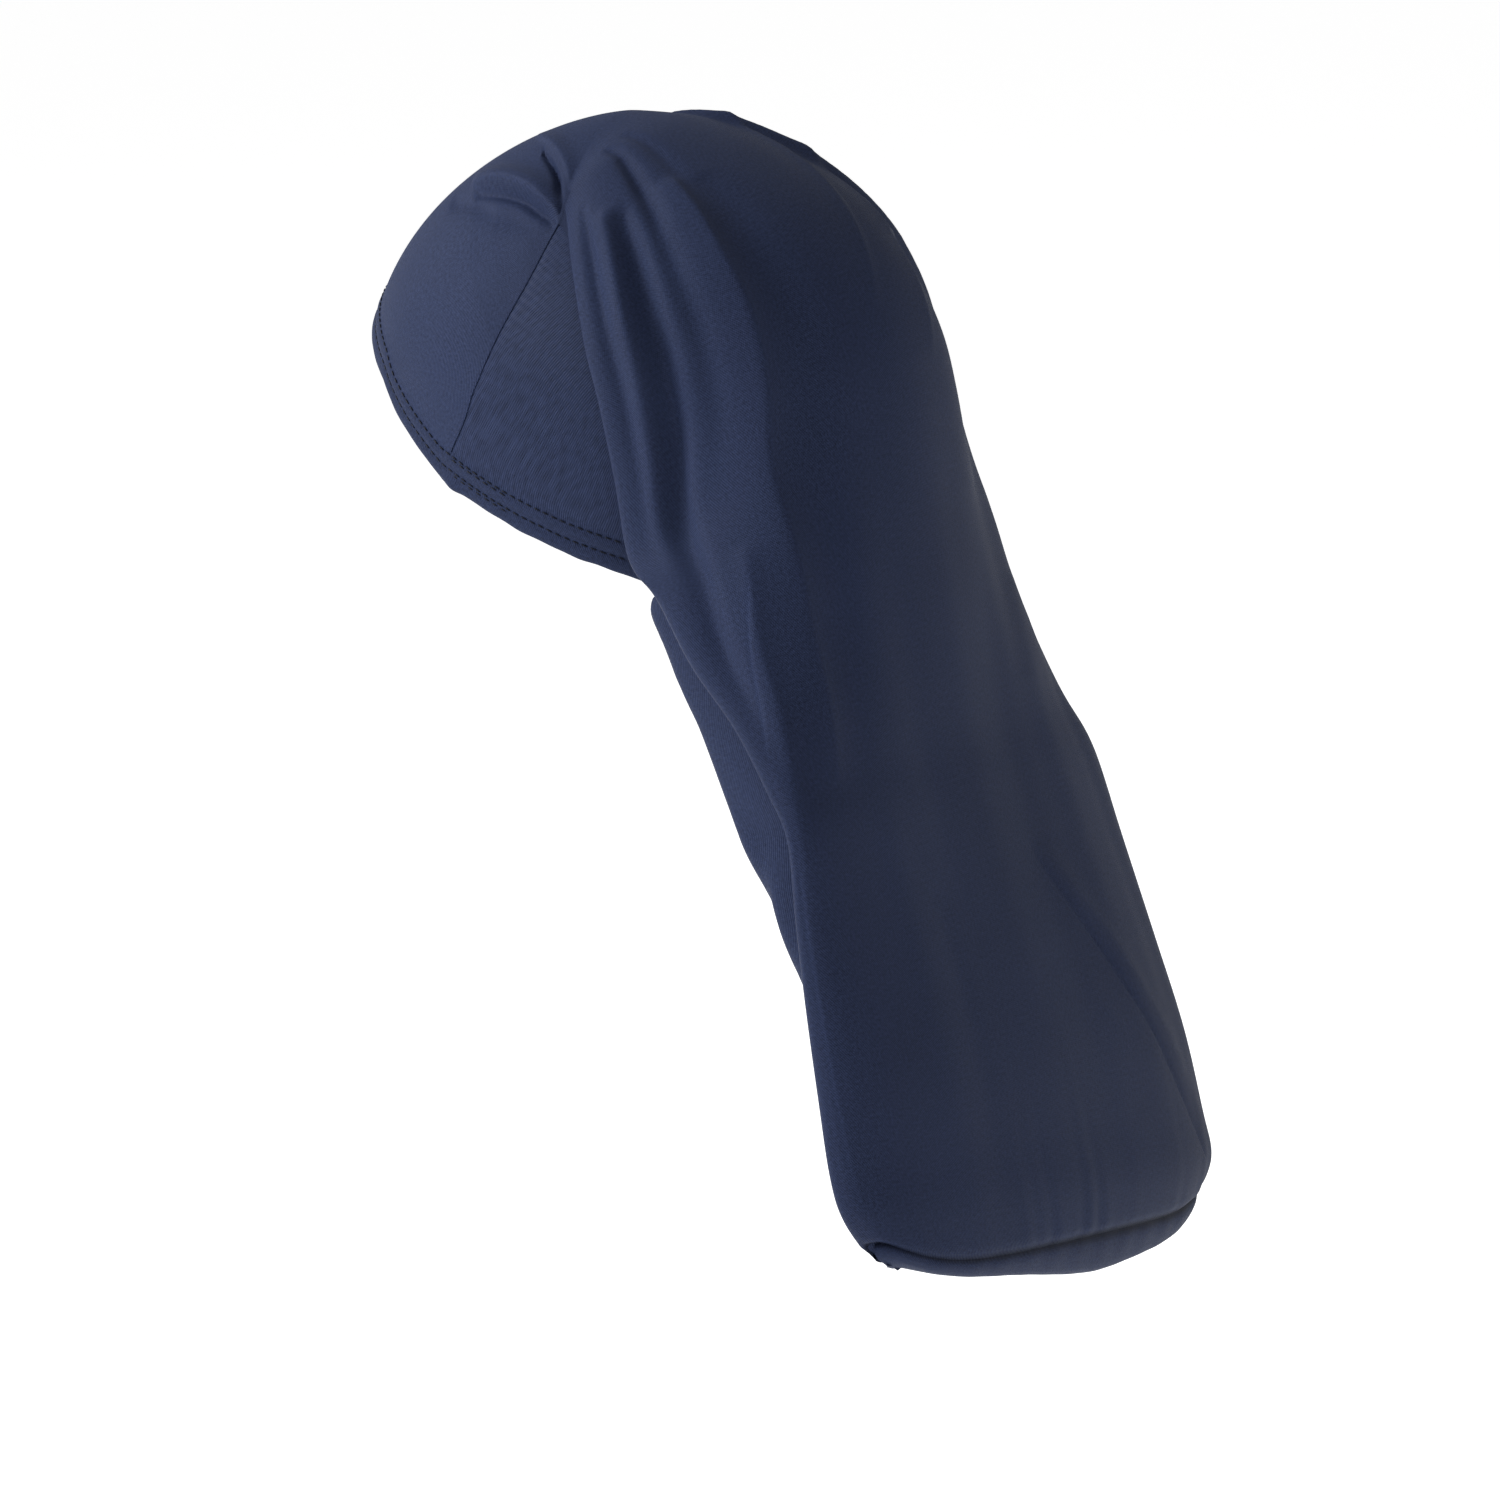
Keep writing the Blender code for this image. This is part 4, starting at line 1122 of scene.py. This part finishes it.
def sewn(name, runs, pitch, length, thickness, material):
    """Real stitches along lines, as a plain mesh object."""
    line = line_object(name + "_line", runs)
    modifier = line.modifiers.new("Stitches", "NODES")
    tree = bpy.data.node_groups.get("Stitches along a line") or stitch_tree()
    modifier.node_group = tree
    inputs = {item.name: item.identifier for item in tree.interface.items_tree
              if item.item_type == "SOCKET" and item.in_out == "INPUT"}
    modifier[inputs["Pitch"]] = pitch
    modifier[inputs["Length"]] = length
    modifier[inputs["Thickness"]] = thickness
    modifier[inputs["Thread"]] = material
    graph = bpy.context.evaluated_depsgraph_get()
    data = bpy.data.meshes.new_from_object(line.evaluated_get(graph))
    data.name = name
    bpy.data.objects.remove(line, do_unlink=True)
    if not data.polygons:
        raise RuntimeError(name + ": the stitches came out empty")
    data.materials.clear()
    data.materials.append(material)
    thing = bpy.data.objects.new(name, data)
    bpy.context.scene.collection.objects.link(thing)
    return thing


def hem_run(height, lift, first=-180.0, last=180.0, count=900, closed=True):
    """A line round the hem at a height above its lower edge, with its outward directions."""
    lons = np.linspace(first, last, count, endpoint=not closed)
    run = []
    out = []
    for lon in lons:
        lat = lat_above(lon, height)
        here = head_point(lon, lat, lift)
        above = head_point(lon, lat, lift + 0.001)
        run.append(here)
        out.append((above - here) / np.linalg.norm(above - here))
    return run, out, closed


def bonnet_material(name, tone=1.0, pressed=False):
    """The jersey of that name, made once, in the cloth's colour times its tone. A tone below 1
    makes a darker copy of the same jersey as painted shade.
    """
    style = bpy.context.scene.bonnet_cloth
    colour = [tone * part for part in style.colour]
    return bpy.data.materials.get(name) or jersey(name, colour, style, pressed)


class BonnetCloth(bpy.types.PropertyGroup):
    colour: bpy.props.FloatVectorProperty(
        name="Cloth colour", description="Colour of the navy jersey", size=3,
        subtype="COLOR", min=0.0, max=1.0, default=(0.0180, 0.0255, 0.0585))
    thread: bpy.props.FloatVectorProperty(
        name="Thread colour", description="Colour of the sewing thread", size=3,
        subtype="COLOR", min=0.0, max=1.0, default=(0.0025, 0.0040, 0.0110))
    roughness: bpy.props.FloatProperty(
        name="Roughness", description="Roughness of the jersey", default=0.56, min=0.0, max=1.0,
        subtype="FACTOR")
    sheen: bpy.props.FloatProperty(
        name="Sheen", description="Strength of the soft edge sheen", default=0.015, min=0.0,
        max=1.0, subtype="FACTOR")
    rib_pitch: bpy.props.FloatProperty(
        name="Rib pitch", description="Width of one knit rib", default=0.0008, min=0.0003,
        max=0.005, unit="LENGTH", precision=5)
    rib_depth: bpy.props.FloatProperty(
        name="Rib depth", description="Depth of the knit ribs", default=0.00008, min=0.0,
        max=0.001, unit="LENGTH", precision=5)


class BonnetStitches(bpy.types.PropertyGroup):
    pitch: bpy.props.FloatProperty(
        name="Stitch pitch", description="Distance from one stitch to the next",
        default=0.0033, min=0.001, max=0.01, unit="LENGTH", precision=5)
    length: bpy.props.FloatProperty(
        name="Stitch length", description="Length of one stitch", default=0.0024, min=0.0005,
        max=0.01, unit="LENGTH", precision=5)
    thickness: bpy.props.FloatProperty(
        name="Thread thickness", description="Thickness of the thread", default=0.0006,
        min=0.0001, max=0.002, unit="LENGTH", precision=5)


class BonnetStage(bpy.types.PropertyGroup):
    floor_drop: bpy.props.FloatProperty(
        name="Floor distance", description="Distance from the bag's bottom down to the floor",
        default=0.12, min=0.0, max=2.0, unit="LENGTH")
    key_power: bpy.props.FloatProperty(
        name="Key light", description="Power of the light from the wearer's front left",
        default=66.0, min=0.0, max=500.0, unit="POWER")
    fill_power: bpy.props.FloatProperty(
        name="Fill light", description="Power of the soft light from behind the camera",
        default=2.0, min=0.0, max=500.0, unit="POWER")
    world_strength: bpy.props.FloatProperty(
        name="Surrounding light", description="Strength of the even pale surroundings",
        default=0.45, min=0.0, max=5.0)


class BONNET_OT_outer_panel(bpy.types.Operator):
    """Builds the long outer panel from the forehead to the bottom seam"""
    bl_idname = "bonnet.outer_panel"
    bl_label = "Outer panel"

    def execute(self, context):
        # pressed brings the painted highlight of the pressed lines and the painted shadow in the
        # bottom seam.
        material = bonnet_material("navy jersey, outer", pressed=True)
        panel = cloth("outer_panel", outer_grid(), material, place=np.stack(places(), 2))
        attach(panel, "root")
        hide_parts("crown_bag_panel")
        return {"FINISHED"}


class BONNET_OT_side_panel(bpy.types.Operator):
    """Builds the side and nape panel that lies on the head"""
    bl_idname = "bonnet.side_panel"
    bl_label = "Side panel"

    def execute(self, context):
        # The side panel's jersey is a darker copy of the outer one: painted shade.
        material = bonnet_material("navy jersey, side", tone=0.95)
        panel = cloth("side_panel", band_grid(), material)
        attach(panel, "root")
        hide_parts("side_band")
        return {"FINISHED"}


class BONNET_OT_under_panel(bpy.types.Operator):
    """Builds the under face of the hair bag with its wrapped bottom"""
    bl_idname = "bonnet.under_panel"
    bl_label = "Under panel"

    def execute(self, context):
        # The under panel's jersey is a darker copy of the outer one, as painted shade, and
        # pressed brings the painted shadow in the bottom seam.
        material = bonnet_material("navy jersey, under", tone=0.97, pressed=True)
        grid = under_grid()
        panel = cloth("under_face", grid, material, side=-1.0, place=under_places(grid))
        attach(panel, "root")
        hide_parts("under_panel")
        return {"FINISHED"}


class BONNET_OT_hem(bpy.types.Operator):
    """Builds the turned hem, its two rows of stitches and their doubled ends"""
    bl_idname = "bonnet.hem"
    bl_label = "Hem and stitches"

    def execute(self, context):
        stitches = context.scene.bonnet_stitches
        # The hem's jersey is a darker copy of the outer one: painted shade.
        ring = hem_ring(bonnet_material("navy jersey, hem", tone=0.93))
        runs = [hem_run(height, STITCH_LIFT) for height in STITCH_ROWS]
        runs += [hem_run(height - OVERLAP_DROP, OVERLAP_LIFT,
                         side * OVERLAP[0], side * OVERLAP[1], 40, False)
                 for height in STITCH_ROWS for side in (-1, 1)]
        threads = sewn("hem_stitches", runs, stitches.pitch, stitches.length,
                       stitches.thickness, thread_material(context.scene.bonnet_cloth))
        for piece in (ring, threads):
            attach(piece, "root")
        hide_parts("hem_band")
        return {"FINISHED"}


class BONNET_OT_stage(bpy.types.Operator):
    """Sets the pale floor, the soft lights and the camera"""
    bl_idname = "bonnet.stage"
    bl_label = "Stage"

    def execute(self, context):
        stage = context.scene.bonnet_stage
        floor_z = CAD_BOX[0][2] - stage.floor_drop
        pale_floor(floor_z)
        surroundings(stage.world_strength)
        soft_light("Key", KEY_PLACE, stage.key_power, KEY_SIZE)
        soft_light("Fill", FILL_PLACE, stage.fill_power, FILL_SIZE)
        photo_camera()
        context.scene.view_settings.view_transform = "Standard"
        return {"FINISHED"}


# Places and sizes of the lights, the point that they face, and half the floor's width
KEY_PLACE = (0.95, -1.55, 1.05)
KEY_SIZE = 0.9
FILL_PLACE = (2.2, 1.6, 0.6)
FILL_SIZE = 1.6
LIGHT_AIM = (0.0, 0.06, -0.18)
FLOOR_REACH = 60.0


def pale_floor(height):
    """A wide pale floor."""
    data = bpy.data.meshes.new("floor")
    corners = [(FLOOR_REACH * x, FLOOR_REACH * y, height)
               for x, y in ((-1, -1), (1, -1), (1, 1), (-1, 1))]
    data.from_pydata(corners, [], [(0, 1, 2, 3)])
    material = bpy.data.materials.new("pale floor")
    material.use_nodes = True
    tree = material.node_tree
    set_inputs(tree, tree.nodes["Principled BSDF"], {
        "Base Color": (0.90, 0.90, 0.90, 1.0), "Roughness": 0.9,
        "Emission Color": (1.0, 1.0, 1.0, 1.0), "Emission Strength": 0.58})
    data.materials.append(material)
    floor = bpy.data.objects.new("floor", data)
    bpy.context.scene.collection.objects.link(floor)


def surroundings(strength):
    """Even pale surroundings."""
    world = bpy.data.worlds.new("pale surroundings")
    world.use_nodes = True
    tree = world.node_tree
    set_inputs(tree, tree.nodes["Background"], {"Color": (1.0, 1.0, 1.0, 1.0),
                                                "Strength": strength})
    bpy.context.scene.world = world


def soft_light(name, place, power, size):
    """A square soft light that faces the bonnet."""
    data = bpy.data.lights.new(name, "AREA")
    data.energy = power
    data.size = size
    light = bpy.data.objects.new(name, data)
    light.location = place
    light.rotation_euler = (Vector(LIGHT_AIM) - Vector(place)).to_track_quat("-Z", "Y").to_euler()
    bpy.context.scene.collection.objects.link(light)


# Camera: direction round the object and above the horizon, distance, the lens, and the
# picture place of the head's middle in a 1500 by 1500 image
CAMERA_TURN = math.radians(115.0)
CAMERA_RISE = math.radians(10.0)
CAMERA_DISTANCE = 2.2
PIXELS_PER_METRE = 2950.0
IMAGE_SIZE = 1500.0
SENSOR = 36.0
HEAD_PLACE = (646.0, 376.0)


def photo_camera():
    """The camera at the photograph's viewing angle."""
    turn, rise = CAMERA_TURN, CAMERA_RISE
    back = Vector((math.cos(rise) * math.sin(turn), -math.cos(rise) * math.cos(turn),
                   math.sin(rise)))
    right = Vector((math.cos(turn), math.sin(turn), 0.0))
    up = back.cross(right)
    middle = IMAGE_SIZE / 2
    aim = Vector((0.0, 0.0, CENTRE_Z))
    aim += right * (middle - HEAD_PLACE[0]) / PIXELS_PER_METRE
    aim -= up * (middle - HEAD_PLACE[1]) / PIXELS_PER_METRE
    data = bpy.data.cameras.new("photo camera")
    data.sensor_width = SENSOR
    data.lens = PIXELS_PER_METRE * CAMERA_DISTANCE * SENSOR / IMAGE_SIZE
    data.clip_start = 0.05
    data.clip_end = 50.0
    camera = bpy.data.objects.new("photo camera", data)
    camera.location = aim + back * CAMERA_DISTANCE
    camera.rotation_euler = (-back).to_track_quat("-Z", "Y").to_euler()
    bpy.context.scene.collection.objects.link(camera)
    bpy.context.scene.camera = camera


class BONNET_PT_panel(bpy.types.Panel):
    """Lists the bonnet's pieces and their settings"""
    bl_label = "Long sleep bonnet"
    bl_idname = "BONNET_PT_panel"
    bl_space_type = "VIEW_3D"
    bl_region_type = "UI"
    bl_category = "Bonnet"

    def draw(self, context):
        scene = context.scene
        for group in (scene.bonnet_cloth, scene.bonnet_stitches, scene.bonnet_stage):
            box = self.layout.box()
            for name in group.bl_rna.properties.keys():
                if name not in ("rna_type", "name"):
                    box.prop(group, name)
        for operator in OPERATORS:
            self.layout.operator(operator.bl_idname)


GROUPS = {"bonnet_cloth": BonnetCloth, "bonnet_stitches": BonnetStitches,
          "bonnet_stage": BonnetStage}
OPERATORS = (BONNET_OT_outer_panel, BONNET_OT_side_panel, BONNET_OT_under_panel,
             BONNET_OT_hem, BONNET_OT_stage)


def register():
    for name, group in GROUPS.items():
        bpy.utils.register_class(group)
        setattr(bpy.types.Scene, name, bpy.props.PointerProperty(type=group))
    for operator in OPERATORS:
        bpy.utils.register_class(operator)
    bpy.utils.register_class(BONNET_PT_panel)


def unregister():
    bpy.utils.unregister_class(BONNET_PT_panel)
    for operator in reversed(OPERATORS):
        bpy.utils.unregister_class(operator)
    for name, group in GROUPS.items():
        delattr(bpy.types.Scene, name)
        bpy.utils.unregister_class(group)


def main():
    register()
    bpy.ops.bonnet.outer_panel()
    bpy.ops.bonnet.side_panel()
    bpy.ops.bonnet.under_panel()
    bpy.ops.bonnet.hem()
    bpy.ops.bonnet.stage()
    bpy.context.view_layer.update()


if __name__ == "__main__":
    main()
